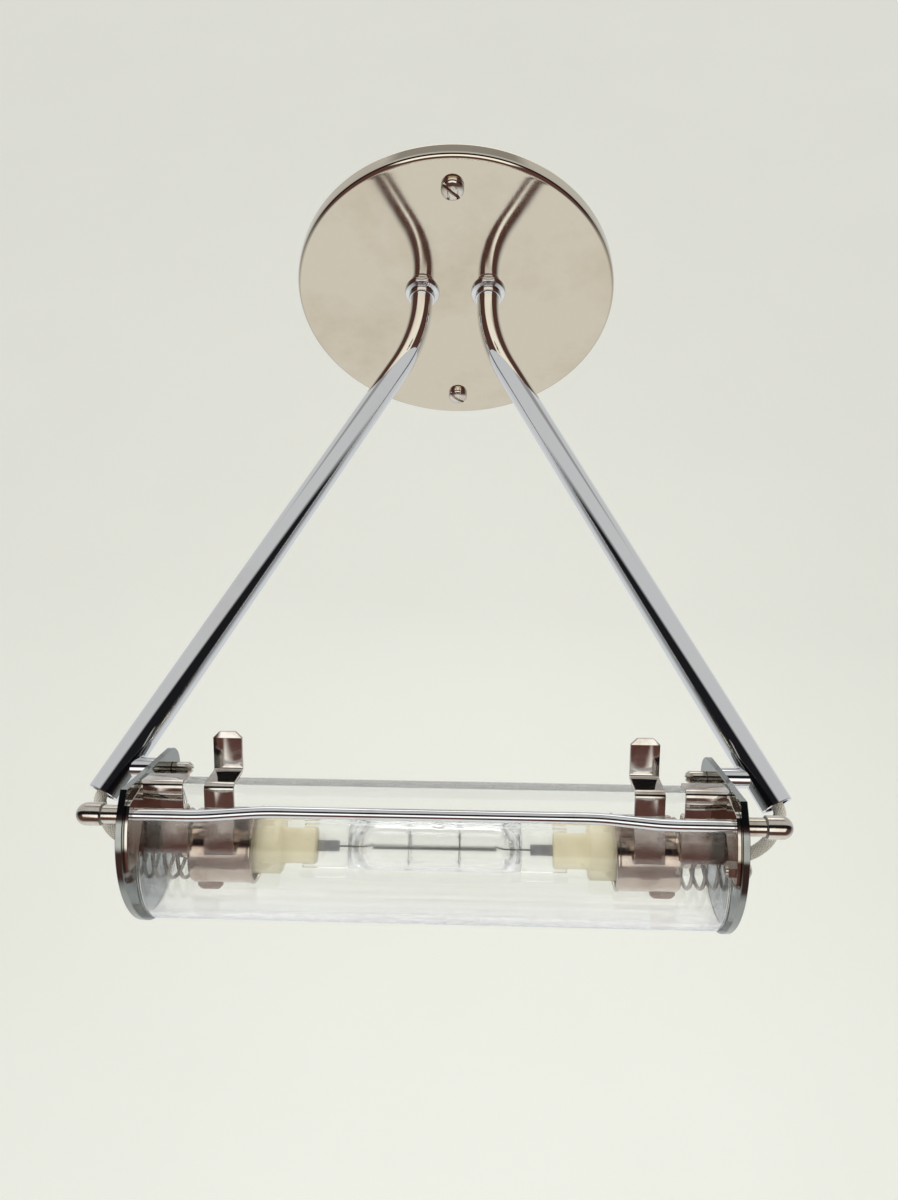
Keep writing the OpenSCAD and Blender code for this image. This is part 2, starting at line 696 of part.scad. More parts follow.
base_neck_l = 8.8;
base_block_l = 8.3;
base_prong_l = 9.5;
base_neck_d = 10.8;
base_d = 15.4;
base_neck_in = lamp_l / 2 - base_neck_l;
base_block_in = base_neck_in - base_block_l;
base_prong_in = base_block_in - base_prong_l;
seal_in = chamber_l / 2 - 1.5;
seal_grip = 7.8;
seal_out = base_prong_in + seal_grip;
foil_in = chamber_l / 2 + 3.4;
foil_l = 8;
foil_h = 3;
foil_t = 0.3;
module lamp_quartz() {
    r_in = quartz_d / 2 - quartz_wall;
    round_x = chamber_l / 2 - quartz_d / 2;
    color(quartz) lamp() difference() {
        union() {
            rod_x(quartz_d, -chamber_l / 2 + 2, chamber_l / 2 - 2);
            for (left = [true, false]) mirrored(left) {
                rod_x(quartz_d, chamber_l / 2 - 2 - e, chamber_l / 2, 0, 0, quartz_d * 0.72);
                translate([seal_in, -seal_t / 2, -seal_h / 2])
                    cube([base_prong_in + 4 - seal_in, seal_t, seal_h]);
                translate([seal_in, -seal_t / 2, -seal_h / 3])
                    cube([seal_out - seal_in, seal_t, seal_h * 2 / 3]);
            }
            translate([1, 0, quartz_d / 2 - 0.3]) cylinder(h = 1.5, d1 = 2.6, d2 = 1.2);
        }
        rod_x(2 * r_in, -seal_in + 1, seal_in - 1);
        foils();
        filament();
    }
}

module foils() {
    for (left = [true, false]) mirrored(left)
        translate([foil_in, -foil_t / 2, -foil_h / 2]) cube([foil_l, foil_t, foil_h]);
}

module lamp_foils() {
    color(tungsten) lamp() foils();
}

support_x = 6.8;
filament_d = 1.6;
filament_l = 34;
support_wire = 0.5;
module filament() {
    rod_x(filament_d, -filament_l / 2, filament_l / 2);
    for (left = [true, false]) mirrored(left) rod_x(support_wire, filament_l / 2 - e, foil_in);
    for (s = [-1, 1]) translate([s * support_x, 0, 0]) {
        rotate([0, 90, 0]) rotate_extrude()
            translate([quartz_d / 2 - quartz_wall - support_wire / 2, 0]) circle(d = support_wire, $fn = 24);
        cylinder(h = quartz_d / 2 - quartz_wall - support_wire / 2, d = support_wire, $fn = 24);
    }
}

module lamp_filament() {
    color(tungsten) lamp() filament();
}

module lamp_bases() {
    prong_h = 9.6;
    prong_t = 7.2;
    contact_x = lamp_l / 2 - recess_depth - contact_t;
    color(ceramic) lamp() for (left = [true, false]) mirrored(left) difference() {
        union() {
            translate([base_prong_in, -prong_t / 2, -prong_h / 2])
                cube([base_block_in - base_prong_in + e, prong_t, prong_h]);
            rod_x(base_d, base_block_in, base_neck_in);
            rod_x(base_neck_d, base_neck_in - e, lamp_l / 2);
        }
        translate([base_prong_in - e, -seal_t / 2, -seal_h / 2])
            cube([4 + 2 * e, seal_t, seal_h]);
        translate([base_prong_in - e, -seal_t / 2, -seal_h / 3])
            cube([seal_out - base_prong_in + e, seal_t, seal_h * 2 / 3]);
        rod_x(recess_d, contact_x, lamp_l / 2 + e);
    }
}

contact_t = 0.6;
module lamp_contacts() {
    x = lamp_l / 2 - recess_depth;
    color(nickel) lamp() for (left = [true, false]) mirrored(left)
        rod_x(recess_d - 2 * seat_gap, x - contact_t, x);
}

canopy();
canopy_screws();
crossbar();
earth_screw();
collar(true);  // left_collar
collar(false);  // right_collar
lock_nuts();
arm(true);  // left_arm
arm(false);  // right_arm
spacer(true);  // left_spacer
spacer(false);  // right_spacer
pivot_screws();
lead(true);  // left_lead
lead(false);  // right_lead
end_plate(true);  // left_end_plate
end_plate(false);  // right_end_plate
tie_rod();
cap_nuts();
glass_tube();
bracket(true);  // left_bracket
bracket(false);  // right_bracket
plate_screw();
guide(true);  // left_guide
guide(false);  // right_guide
spring(true);  // left_spring
spring(false);  // right_spring
cup(true);  // left_cup
cup(false);  // right_cup
insulator(true);  // left_insulator
insulator(false);  // right_insulator
contact(true);  // left_contact
contact(false);  // right_contact
finger_strap(true);  // left_finger_strap
finger_strap(false);  // right_finger_strap
lamp_quartz();
lamp_bases();
lamp_contacts();
lamp_foils();
lamp_filament();
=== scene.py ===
# %% [markdown]
# A ceiling lamp with a tilting glass head
# ========================================
# A shallow nickel canopy, two splayed chrome tubes and a head that tilts between them: glass
# tube with an open side, two chrome plates and a double-ended halogen lamp between sprung
# holders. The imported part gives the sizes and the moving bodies, and this file dresses it.

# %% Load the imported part
import math

import bmesh
import bpy
import numpy as np
from mathutils import Matrix
from mathutils.geometry import tessellate_polygon


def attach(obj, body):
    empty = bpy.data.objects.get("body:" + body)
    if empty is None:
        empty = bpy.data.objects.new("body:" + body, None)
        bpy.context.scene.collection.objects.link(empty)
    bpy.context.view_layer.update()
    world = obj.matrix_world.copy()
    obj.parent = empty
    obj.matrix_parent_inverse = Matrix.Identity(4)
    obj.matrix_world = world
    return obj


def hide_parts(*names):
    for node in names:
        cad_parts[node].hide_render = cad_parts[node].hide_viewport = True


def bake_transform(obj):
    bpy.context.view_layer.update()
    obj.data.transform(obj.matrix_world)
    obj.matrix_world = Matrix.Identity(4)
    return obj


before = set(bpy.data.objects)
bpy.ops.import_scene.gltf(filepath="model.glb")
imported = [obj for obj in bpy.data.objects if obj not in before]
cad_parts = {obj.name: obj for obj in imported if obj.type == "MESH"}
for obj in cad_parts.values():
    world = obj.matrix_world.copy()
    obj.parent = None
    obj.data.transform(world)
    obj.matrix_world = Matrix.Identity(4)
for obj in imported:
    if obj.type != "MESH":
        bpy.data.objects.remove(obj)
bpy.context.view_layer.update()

# %% [markdown]
# Sizes
# -----
# Shapes are worked out in millimetres and become metres when a mesh is made. The values
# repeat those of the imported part, because a dressed piece sits exactly where its solid sits.

# %% Sizes of the lamp in millimetres
MM = 0.001
CANOPY_R, CANOPY_H, CANOPY_WALL, CANOPY_EDGE = 64.5, 6.2, 1.2, 2.0
SCREW_Y, SCREW_HEAD_R, SCREW_HEAD_H, SCREW_R = 52.0, 4.25, 3.3, 2.5
ARM_X, ARM_FRONT, ARM_R, ARM_WALL = 13.4, 6.0, 4.5, 1.0
ARM_SPLAY, ARM_BEND_R, ARM_TAIL, ARM_TOP = math.radians(23.9), 85.0, 7.9, -2.6
COLLAR_R, COLLAR_FLANGE_H, COLLAR_BARREL_R, COLLAR_H = 7.0, 2.0, 5.3, 5.0
HEAD_DROP, HEAD_TILT = 208.8, math.radians(39.2)
PLATE_OUT, PLATE_T, PLATE_R, PLATE_FLAT = 78.0, 1.8, 28.0, 16.0
TIP_R, TIP_ALONG, SPACER_L = 5.7, 8.6, 8.4
GLASS_R, GLASS_WALL, GLASS_DROP, GLASS_OPENING = 20.0, 2.4, 8.5, math.radians(84)
ROD_R, ROD_FRONT, ROD_UP, ROD_STEP, ROD_STEP_L, ROD_STEP_IN = 1.5, 22.5, 9.2, 1.4, 16.0, 18.2
NUT_R, NUT_L, NUT_NECK_R, NUT_NECK_L = 2.9, 7.0, 2.3, 4.6
CUP_R, CUP_L, CUP_WALL, BUSH_R, BUSH_L = 10.2, 17.3, 0.8, 4.0, 6.0
SPRING_L, SPRING_WIRE, SPRING_R, SPRING_TURNS = 10.4, 1.1, 9.15, 3
STRIP_T, STRAP_W, STRAP_SET_BACK = 1.0, 8.0, 5.0
LAMP_L, LAMP_TURN, QUARTZ_R, LEAD_R = 117.6, math.radians(24), 6.25, 1.7
PIVOT_HOLE_R, GUIDE_HOLE_R, SEAT_GAP = 1.56, 3.05, 0.05
PLATE_SCREW_AT, PLATE_SCREW_HOLE_R = (-24.3, -1.2), 1.3

PLATE_IN = PLATE_OUT - PLATE_T
CUP_BACK = PLATE_IN - SPRING_L
CUP_MOUTH = CUP_BACK - CUP_L
TIP = np.array([TIP_ALONG, PLATE_FLAT - TIP_R])
PIVOT_X = PLATE_OUT + SPACER_L + ARM_R / math.cos(ARM_SPLAY)
ELBOW_Z = -HEAD_DROP + (PIVOT_X - ARM_X) / math.tan(ARM_SPLAY)
BEND_RUN = ARM_BEND_R * math.tan(ARM_SPLAY / 2)
ARM_L = (HEAD_DROP + ELBOW_Z + ARM_TAIL) / math.cos(ARM_SPLAY)
print("tilt axis at x", round(PIVOT_X, 2), "elbow height", round(ELBOW_Z, 2))

# %% [markdown]
# The camera
# ----------
# The photograph looks up at the lamp from below and in front, with a wide lens. A camera is
# three directions and a place. The real lamp hangs a little askew, so it has a small roll.

# %% Camera
CAMERA_AT = np.array([12.37, -240.21, -289.31]) * MM
FORWARD = np.array([-0.03302, 0.86141, 0.50683])
FORWARD /= np.linalg.norm(FORWARD)
ROLL = math.radians(1.78)
FOCAL_PX, LONG_SIDE_PX, SIDE_STEP_PX = 850.0, 1200.0, 5.0


def added(name, data):
    """A new object in the scene."""
    obj = bpy.data.objects.new(name, data)
    bpy.context.scene.collection.objects.link(obj)
    return obj


def standing(right, up, back, at):
    """A matrix whose columns are three directions and a place."""
    matrix = np.eye(4)
    matrix[:3] = np.stack([right, up, back, at], -1)
    return Matrix(matrix.tolist())


def camera_matrix():
    """Level right is forward x up, down is forward x right, and both turn by the roll."""
    right = np.cross(FORWARD, (0, 0, 1))
    right /= np.linalg.norm(right)
    down = np.cross(FORWARD, right)
    rolled = right * math.cos(ROLL) - down * math.sin(ROLL)
    fallen = right * math.sin(ROLL) + down * math.cos(ROLL)
    return standing(rolled, -fallen, -FORWARD, CAMERA_AT)


SENSOR_MM = 36.0
camera_data = bpy.data.cameras.new("photo_camera")
camera_data.sensor_width = SENSOR_MM
camera_data.lens = FOCAL_PX / LONG_SIDE_PX * SENSOR_MM
camera_data.shift_x = -SIDE_STEP_PX / LONG_SIDE_PX
camera_data.clip_start, camera_data.clip_end = 0.01, 20.0
camera = added("photo_camera", camera_data)
camera.matrix_world = camera_matrix()
bpy.context.scene.camera = camera
print("lens", round(camera_data.lens, 2), "mm")

# %% [markdown]
# Making surfaces
# ---------------
# Nearly every piece is a grid of points: a section carried along a line, or a profile turned
# round an axis. Each row is one ring. Neighbouring rings are joined by four-sided faces, and
# an open end is closed by a fan round its middle.

# %% Grids of points become skins


def skin(rings, wrap_rows=False, wrap_cols=True, ends=True):
    """Quads join point (i, j) with (i+1, j), (i+1, j+1) and (i, j+1); the map holds the share
    of the way round and the distance along in metres."""
    rows, cols = rings.shape[:2]
    i = np.arange(rows if wrap_rows else rows - 1)[:, None]
    j = np.arange(cols if wrap_cols else cols - 1)[None, :]
    i2, j2 = (i + 1) % rows, (j + 1) % cols
    quads = np.stack([i * cols + j, i2 * cols + j, i2 * cols + j2, i * cols + j2], -1).reshape(-1, 4)
    middle = rings.mean(1)
    steps = np.linalg.norm(np.diff(middle, axis=0, append=middle[:1]), axis=1)
    run = np.concatenate([[0.0], np.cumsum(steps)]) * MM
    u, v = np.broadcast_arrays(j / cols, run[i])
    u2, v2 = np.broadcast_arrays((j + 1) / cols, run[i + 1])
    uv = np.stack([np.stack(p, -1) for p in ((u, v), (u, v2), (u2, v2), (u2, v))], -2).reshape(-1, 2)
    points, faces = rings.reshape(-1, 3), quads.tolist()
    if ends and not wrap_rows and wrap_cols:
        around = np.arange(cols)
        nxt = (around + 1) % cols
        n = len(points)
        last = (rows - 1) * cols
        points = np.concatenate([points, middle[:1], middle[-1:]])
        fan = np.concatenate([
            np.stack([np.full(cols, n), nxt, around], -1),
            np.stack([np.full(cols, n + 1), last + around, last + nxt], -1)])
        faces += fan.tolist()
        uv = np.concatenate([uv, np.repeat([[0.5, run[0]], [0.5, run[rows - 1]]], 3 * cols, 0)])
    return points, faces, uv


def together(*skins):
    """Several skins as one: the face numbers of each move up by the points before it."""
    starts = np.cumsum([0] + [len(s[0]) for s in skins])
    return (np.concatenate([s[0] for s in skins]),
            [[k + int(start) for k in f] for s, start in zip(skins, starts) for f in s[1]],
            np.concatenate([s[2] for s in skins]))


# %% [markdown]
# A mesh is finished when its doubled points are merged, its faces all point outward and its
# edges are soft or sharp by angle. The same helper hangs the piece on its moving body and
# hides the plain solid that it stands for.

# %% Skins become pieces
DOUBLED_M, TOO_SHORT_M = 2e-7, 1e-8


def piece(name, made, finish, body, stands_for=(), sharp=40.0, tidy=True):
    """Points in millimetres become a mesh object at the origin, riding on its body."""
    points, faces, uv = made
    mesh = bpy.data.meshes.new(name)
    mesh.from_pydata((np.asarray(points) * MM).tolist(), [], faces)
    layer = mesh.uv_layers.new(name="UVMap")
    layer.data.foreach_set("uv", np.asarray(uv, np.float32).ravel())
    work = bmesh.new()
    work.from_mesh(mesh)
    if tidy:
        bmesh.ops.remove_doubles(work, verts=work.verts, dist=DOUBLED_M)
        bmesh.ops.dissolve_degenerate(work, edges=work.edges, dist=TOO_SHORT_M)
        bmesh.ops.recalc_face_normals(work, faces=work.faces)
    volume = work.calc_volume(signed=True)
    if volume < 0:
        bmesh.ops.reverse_faces(work, faces=work.faces)
    work.to_mesh(mesh)
    work.free()
    mesh.shade_smooth()
    mesh.set_sharp_from_angle(angle=math.radians(sharp))
    obj = added(name, mesh)
    mesh.materials.append(finish)
    if body:
        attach(obj, body)
    if stands_for:
        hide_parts(*stands_for)
    print(f"{name}: {len(mesh.polygons)} faces, {abs(volume) * 1e9:.0f} mm3")
    return obj


def eased(points, ease, steps=6, closed=False):
    """Each corner becomes a short curve that leaves the line `ease` before the corner and
    meets it `ease` after: (1-u)^2 a + 2u(1-u) corner + u^2 b, for u from 0 to 1."""
    p = np.asarray(points, float)
    ease = np.broadcast_to(np.asarray(ease, float), len(p))
    before, after = np.roll(p, 1, 0) - p, np.roll(p, -1, 0) - p
    length = lambda d: np.maximum(np.linalg.norm(d, axis=1), 1e-9)
    cut_b = np.minimum(ease, 0.49 * length(before)) / length(before)
    cut_a = np.minimum(ease, 0.49 * length(after)) / length(after)
    a, b = p + before * cut_b[:, None], p + after * cut_a[:, None]
    u = np.linspace(0, 1, steps)[None, :, None]
    curve = (1 - u) ** 2 * a[:, None] + 2 * u * (1 - u) * p[:, None] + u**2 * b[:, None]
    if closed:
        return curve.reshape(-1, p.shape[1])
    return np.concatenate([p[:1], curve[1:-1].reshape(-1, p.shape[1]), p[-1:]])


def unit(v):
    return v / np.maximum(np.linalg.norm(v, axis=-1, keepdims=True), 1e-12)


def carried(line, section, side):
    """A section (a, b) stands at each point of a line: point + a N + b B, where N is the given
    side made square to the line's direction T, and B is T x N."""
    line, section = np.asarray(line, float), np.asarray(section, float)
    t = unit(np.gradient(line, axis=0))
    n = unit(np.asarray(side, float) - (t @ np.asarray(side, float))[:, None] * t)
    b = np.cross(t, n)
    if section.ndim == 2:
        section = np.broadcast_to(section, (len(line), *section.shape))
    return line[:, None] + section[..., :1] * n[:, None] + section[..., 1:] * b[:, None]


def round_section(radius, sides):
    """(r cos a, r sin a) for equal steps of a."""
    a = np.linspace(0, 2 * np.pi, sides, endpoint=False)
    return radius * np.stack([np.cos(a), np.sin(a)], -1)


def with_x(x, sections):
    """Each flat section of (t, n) becomes a ring at its own x."""
    return np.concatenate([np.broadcast_to(x[:, None, None], (*sections.shape[:2], 1)), sections], -1)


def turned(profile, sides, centre=(0.0, 0.0)):
    """A profile of (x, radius) turned round the line through `centre` along x:
    (x, r cos a + cy, r sin a + cz)."""
    profile = np.asarray(profile, float)
    return with_x(profile[:, 0], profile[:, 1:, None] * round_section(1.0, sides) + centre)


def arc(centre, radius, start, stop, steps):
    """Points on a circle between two angles in degrees."""
    a = np.radians(np.linspace(start, stop, steps))
    return np.stack([centre[0] + radius * np.cos(a), centre[1] + radius * np.sin(a)], -1)


# %% [markdown]
# Sheet parts are flat plates with holes. The rims are skins with both edges broken by a fine
# chamfer, and the two faces are cut into triangles round the holes.

# %% Flat plates with holes


def grown(loop, by):
    """A closed loop moved outward: each point goes along the normal of its tangent."""
    t = unit(np.roll(loop, -1, 0) - np.roll(loop, 1, 0))
    normal = np.stack([t[:, 1], -t[:, 0]], -1)
    x, y = loop[:, 0], loop[:, 1]
    area = 0.5 * np.sum(x * np.roll(y, -1) - np.roll(x, -1) * y)
    return loop + by * normal * np.sign(area)


def standing_loops(loops, heights):
    """Loops of (a, b), each at a height of its own, as rings of (a, b, height)."""
    return np.stack([np.insert(p, 2, h, axis=1) for p, h in zip(loops, heights)])


def plate(outline, holes, low, high, edge):
    """The outline and the holes stand between two heights, inset by the edge at both."""
    rims = []
    for k, loop in enumerate([outline, *holes]):
        inset = grown(loop, -edge if k == 0 else edge)
        rims.append(standing_loops([inset, loop, loop, inset], (low, low + edge, high - edge, high)))
    return together(*(skin(rim, ends=False) for rim in rims), *(face_of([r[k] for r in rims]) for k in (0, -1)))


def face_of(loops):
    """The flat face between an outer loop and its holes, cut into triangles."""
    points = np.concatenate(loops)
    triangles = [list(t) for t in tessellate_polygon([[tuple(p) for p in loop] for loop in loops])]
    return points, triangles, np.zeros((3 * len(triangles), 2))


# %% [markdown]
# The head is drawn in its own frame: along the lamp (x), across toward the back (t) and up
# toward the open side (n). One function tilts and hangs it, and another turns the lamp in it.

# %% Frames of the head and the lamp


def in_head(points):
    """Turn by the tilt about the axis through the plates' tips, then hang at the arms' ends."""
    p = np.asarray(points, float)
    t, n = p[..., 1] - TIP[0], p[..., 2] - TIP[1]
    c, s = math.cos(HEAD_TILT), math.sin(HEAD_TILT)
    return np.stack([p[..., 0], -ARM_FRONT + t * c - n * s, -HEAD_DROP + t * s + n * c], -1)


def in_lamp(points):
    """The lamp sits turned about its own line, a little below the middle of the plates."""
    p = np.asarray(points, float)
    c, s = math.cos(LAMP_TURN), math.sin(LAMP_TURN)
    return in_head(np.stack([p[..., 0], p[..., 1] * c + p[..., 2] * s,
                             -p[..., 1] * s + p[..., 2] * c - GLASS_DROP], -1))


def on_side(points, side):
    """The right-hand shape, or its mirror image in x for the left (side -1)."""
    return np.asarray(points, float) * (side, 1, 1)


def placed(made, side=1, frame_of=in_head, order=(0, 1, 2)):
    """A skin moved to its side and its frame; order says which coordinates are x, t and n, and
    a piece drawn in the room keeps its points (np.asarray)."""
    return frame_of(on_side(made[0][:, list(order)], side)), *made[1:]


SIDES = (("left", -1), ("right", 1))
print("lamp axis in the room:", in_head([0, 0, -GLASS_DROP]).round(1))

# %% [markdown]
# Finishes
# --------
# A finish is a Principled shader whose values change over the surface. Soft smudges, fine
# polishing lines and a low swell are shared, so they are one node group. They read Object
# coordinates, so the pattern stays on the piece when it moves.

# %% Node helpers


def fill(tree, made, inputs):
    """Each input gets a plain value, or a link from another node's socket."""
    for key, value in inputs.items():
        if isinstance(value, bpy.types.NodeSocket):
            tree.links.new(value, made.inputs[key])
        else:
            made.inputs[key].default_value = value


def node(tree, kind, inputs=None, **settings):
    """A node with its settings and its inputs."""
    made = tree.nodes.new(kind)
    for key, value in settings.items():
        setattr(made, key, value)
    fill(tree, made, inputs or {})
    return made


def maths(tree, operation, *values):
    """One Math node as an expression."""
    return node(tree, "ShaderNodeMath", dict(enumerate(values)), operation=operation).outputs[0]


def product(tree, a, b):
    return maths(tree, "MULTIPLY", a, b)


def noise(tree, vector, scale, **more):
    """A noise texture's value; more sets its Detail and Roughness."""
    return node(tree, "ShaderNodeTexNoise", {"Vector": vector, "Scale": scale, **more}).outputs[0]


def spread(tree, value, low, high, to_low=0.0, to_high=1.0):
    """A value carried from one range to another, held at its ends."""
    ends = {"From Min": low, "From Max": high, "To Min": to_low, "To Max": to_high}
    return node(tree, "ShaderNodeMapRange", {"Value": value, **ends}).outputs[0]


def blend_colour(tree, mask, first, second):
    """The first colour where the mask is 0, the second where it is 1."""
    first, second = ((*c, 1) if isinstance(c, tuple) else c for c in (first, second))
    return node(tree, "ShaderNodeMix", {"Factor": mask, 6: first, 7: second}, data_type="RGBA").outputs[2]


def bumped(tree, height):
    """The normal of a surface whose height is given in millimetres."""
    return node(tree, "ShaderNodeBump", {"Height": height, "Distance": MM}).outputs[0]


def new_finish(name):
    """A material, its node tree, its shader and its texture coordinates."""
    made = bpy.data.materials.new(name)
    made.use_nodes = True
    tree = made.node_tree
    return made, tree, tree.nodes["Principled BSDF"], node(tree, "ShaderNodeTexCoord").outputs


# %% Node group: marks of polishing and handling


def make_marks():
    """Smudge is slow noise, Lines is noise stretched along one way, Swell is very slow noise."""
    group = bpy.data.node_groups.new("polish_marks", "ShaderNodeTree")
    group.interface.new_socket("Vector", in_out="INPUT", socket_type="NodeSocketVector")
    for label, value in (("Smudge Size", 60.0), ("Line Size", 900.0), ("Swell Size", 25.0)):
        group.interface.new_socket(label, in_out="INPUT", socket_type="NodeSocketFloat").default_value = value
    for label in ("Smudge", "Lines", "Swell"):
        group.interface.new_socket(label, in_out="OUTPUT", socket_type="NodeSocketFloat")
    place, smudge_size, line_size, swell_size = list(node(group, "NodeGroupInput").outputs)[:4]
    smudge = noise(group, place, smudge_size, Detail=4.0, Roughness=0.62)
    stretch = node(group, "ShaderNodeMapping", {"Vector": place, "Scale": (1.0, 0.06, 1.0),
                                                "Rotation": (0.2, 0.1, 0.5)})
    lines = noise(group, stretch.outputs[0], line_size, Detail=2.0)
    swell = noise(group, place, swell_size, Detail=1.0)
    node(group, "NodeGroupOutput", {0: spread(group, smudge, 0.35, 0.7), 1: spread(group, lines, 0.55, 0.75),
                                    2: swell})
    return group


MARKS = make_marks()

# %% [markdown]
# Plated metal is the main finish: a tinted colour, a roughness that rises where it was
# touched, and a very low swell, because pressed sheet is never a perfect mirror. Old nickel
# has a warm brown stain in soft blotches.

# %% Plated metal


def metal(name, colour, stain, smooth, touched, stain_cover=0.3, smudge=60.0, swell_size=25.0,
          swell_depth=0.02, line_depth=0.004):
    """Base colour goes to the stain in blotches, roughness from smooth to touched by the
    smudges and lines, and a bump adds the swell and the lines in millimetres."""
    made, tree, shader, place = new_finish(name)
    marks = node(tree, "ShaderNodeGroup", {0: place["Object"]}, node_tree=MARKS)
    fill(tree, marks, {"Smudge Size": smudge, "Swell Size": swell_size})
    smudges, lines, swell = marks.outputs
    cloud = noise(tree, place["Object"], smudge * 0.45, Detail=5.0, Roughness=0.6)
    cover = spread(tree, cloud, 0.66 - stain_cover * 0.5, 0.86 - stain_cover * 0.3)
    touch = maths(tree, "ADD", smudges, product(tree, lines, 0.35))
    height = maths(tree, "ADD", product(tree, swell, swell_depth), product(tree, lines, line_depth))
    fill(tree, shader, {"Metallic": 1.0, "Base Color": blend_colour(tree, cover, colour, stain),
                        "Roughness": spread(tree, touch, 0.0, 1.35, smooth, touched),
                        "Normal": bumped(tree, height)})
    return made


CANOPY_NICKEL = metal("canopy_nickel", (0.69, 0.63, 0.525), (0.58, 0.50, 0.39), 0.045, 0.11, 0.35, 45, 14,
                      0.010, 0.0005)
NICKEL = metal("warm_nickel", (0.70, 0.66, 0.60), (0.46, 0.38, 0.29), 0.08, 0.2, 0.4, 300)
ARM_CHROME = metal("arm_chrome", (0.80, 0.81, 0.83), (0.72, 0.72, 0.72), 0.025, 0.07, 0.2, 50, 25, 0.003, 0.0004)
CHROME = metal("chrome", (0.76, 0.77, 0.79), (0.60, 0.58, 0.56), 0.03, 0.09, 0.3, 160, 25, 0.003, 0.0005)
# The plates' chrome is darkened far below plain chrome: a painted reflection of the dark surroundings they
# mirror. The darker blotches are stain.
PLATE_CHROME_PAINTED_REFLECTION = metal("plate_chrome", (0.31, 0.325, 0.31), (0.20, 0.21, 0.19), 0.04, 0.11, 0.3, 110, 25,
                     0.008, 0.0006)
STRIP_NICKEL = metal("strip_nickel", (0.68, 0.64, 0.59), (0.44, 0.35, 0.28), 0.05, 0.13, 0.35, 220, 25,
                     0.004, 0.0005)
CUP_NICKEL = metal("cup_nickel", (0.60, 0.50, 0.42), (0.32, 0.20, 0.15), 0.06, 0.15, 0.4, 200, 25, 0.004, 0.0006)
SPRING_STEEL = metal("spring_steel", (0.34, 0.30, 0.26), (0.19, 0.16, 0.13), 0.12, 0.26, 0.5, 400)
ZINC = metal("zinc", (0.62, 0.63, 0.64), (0.48, 0.46, 0.42), 0.26, 0.42, 0.5, 160)
BRASS = metal("contact_brass", (0.78, 0.60, 0.32), (0.50, 0.34, 0.18), 0.2, 0.36, 0.5, 400)
TUNGSTEN = metal("tungsten", (0.36, 0.35, 0.34), (0.22, 0.21, 0.20), 0.3, 0.46, 0.5, 900)
MOLYBDENUM = metal("molybdenum", (0.62, 0.63, 0.66), (0.48, 0.48, 0.50), 0.3, 0.45, 0.5, 900)
print("metals made:", len([m for m in bpy.data.materials if m.use_nodes]))

# %% [markdown]
# Glass is drawn tube, so it carries faint lines along its length, and quartz has a slow
# swell from being pinched hot. Only the roughness and the bump change over the surface.

# %% Glass and quartz


def glass(name, tint, ior, touched, stretch, depth, cover):
    """Roughness goes from 0 to touched with the smudges; a stretched noise is the bump."""
    made, tree, shader, place = new_finish(name)
    marks = node(tree, "ShaderNodeGroup", {0: place["Object"]}, node_tree=MARKS)
    fill(tree, marks, {"Smudge Size": 90.0})
    drawn = node(tree, "ShaderNodeMapping", {"Vector": place["Object"], "Scale": stretch})
    ripple = noise(tree, drawn.outputs[0], 60.0, Detail=2.0)
    fill(tree, shader, {"Base Color": (*tint, 1), "Transmission Weight": 1.0, "IOR": ior, "Alpha": cover,
                        "Roughness": spread(tree, marks.outputs["Smudge"], 0.3, 1.0, 0.0, touched),
                        "Normal": bumped(tree, product(tree, ripple, depth))})
    return made


CLEAR_GLASS = glass("clear_glass", (0.985, 0.993, 0.988), 1.47, 0.008, (0.08, 1.0, 1.0), 0.003, 0.85)
QUARTZ = glass("quartz", (0.985, 0.985, 0.98), 1.46, 0.02, (0.6, 1.0, 1.0), 0.012, 0.9)

# %% [markdown]
# The lamp's ends are steatite, a dull cream ceramic with tiny dark specks. The leads wear a
# sleeve of woven glass fibre, and its weave follows the tube's own map, round and along.

# %% Ceramic and woven sleeve


def ceramic(name, colour, speck, rough=0.45):
    """Fine noise picks out specks, slower noise changes the roughness, and both dent it."""
    made, tree, shader, place = new_finish(name)
    fine = noise(tree, place["Object"], 1400.0, Detail=3.0)
    slow = noise(tree, place["Object"], 180.0, Detail=3.0)
    clouds = product(tree, spread(tree, slow, 0.4, 0.7), 0.35)
    mask = maths(tree, "MAXIMUM", spread(tree, fine, 0.62, 0.75), clouds)
    height = maths(tree, "ADD", product(tree, fine, 0.02), product(tree, slow, 0.04))
    fill(tree, shader, {"Base Color": blend_colour(tree, mask, colour, speck),
                        "Roughness": spread(tree, slow, 0.3, 0.7, rough - 0.1, rough + 0.1),
                        "Normal": bumped(tree, height)})
    return made


def woven_sleeve(name, colour, shade, around=14.0, per_metre=900.0):
    """Two sets of threads cross: sin(around u + along v) and sin(around u - along v); the
    larger one lies on top, and its height is the bump. Where the weave lies low, the colour goes to a painted
    shade."""
    made, tree, shader, place = new_finish(name)
    uv = node(tree, "ShaderNodeSeparateXYZ", {0: place["UV"]})
    turn = product(tree, uv.outputs[0], around * 2 * math.pi)
    run = product(tree, uv.outputs[1], per_metre * 2 * math.pi)
    one, two = (maths(tree, "SINE", maths(tree, way, turn, run)) for way in ("ADD", "SUBTRACT"))
    top = spread(tree, maths(tree, "MAXIMUM", one, two), -0.4, 1.0)
    # Painted shade: the sleeve is darker where the weave lies low, between the threads.
    fill(tree, shader, {"Roughness": 0.75, "Base Color": blend_colour(tree, top, shade, colour),
                        "Normal": bumped(tree, product(tree, top, 0.12))})
    return made


CERAMIC = ceramic("lamp_ceramic", (0.90, 0.82, 0.58), (0.72, 0.60, 0.38))
HOLDER_CERAMIC = ceramic("holder_ceramic", (0.82, 0.79, 0.72), (0.66, 0.62, 0.54))
# The sleeve's second colour is the painted shade between its threads.
SLEEVE = woven_sleeve("lead_sleeve", (0.80, 0.76, 0.68), (0.60, 0.55, 0.47))

# %% [markdown]
# Nuts, spacers, contacts and other small pieces look right as packed, so they keep their own
# mesh and only get a finish. Modelling them again would add nothing that a viewer can see.

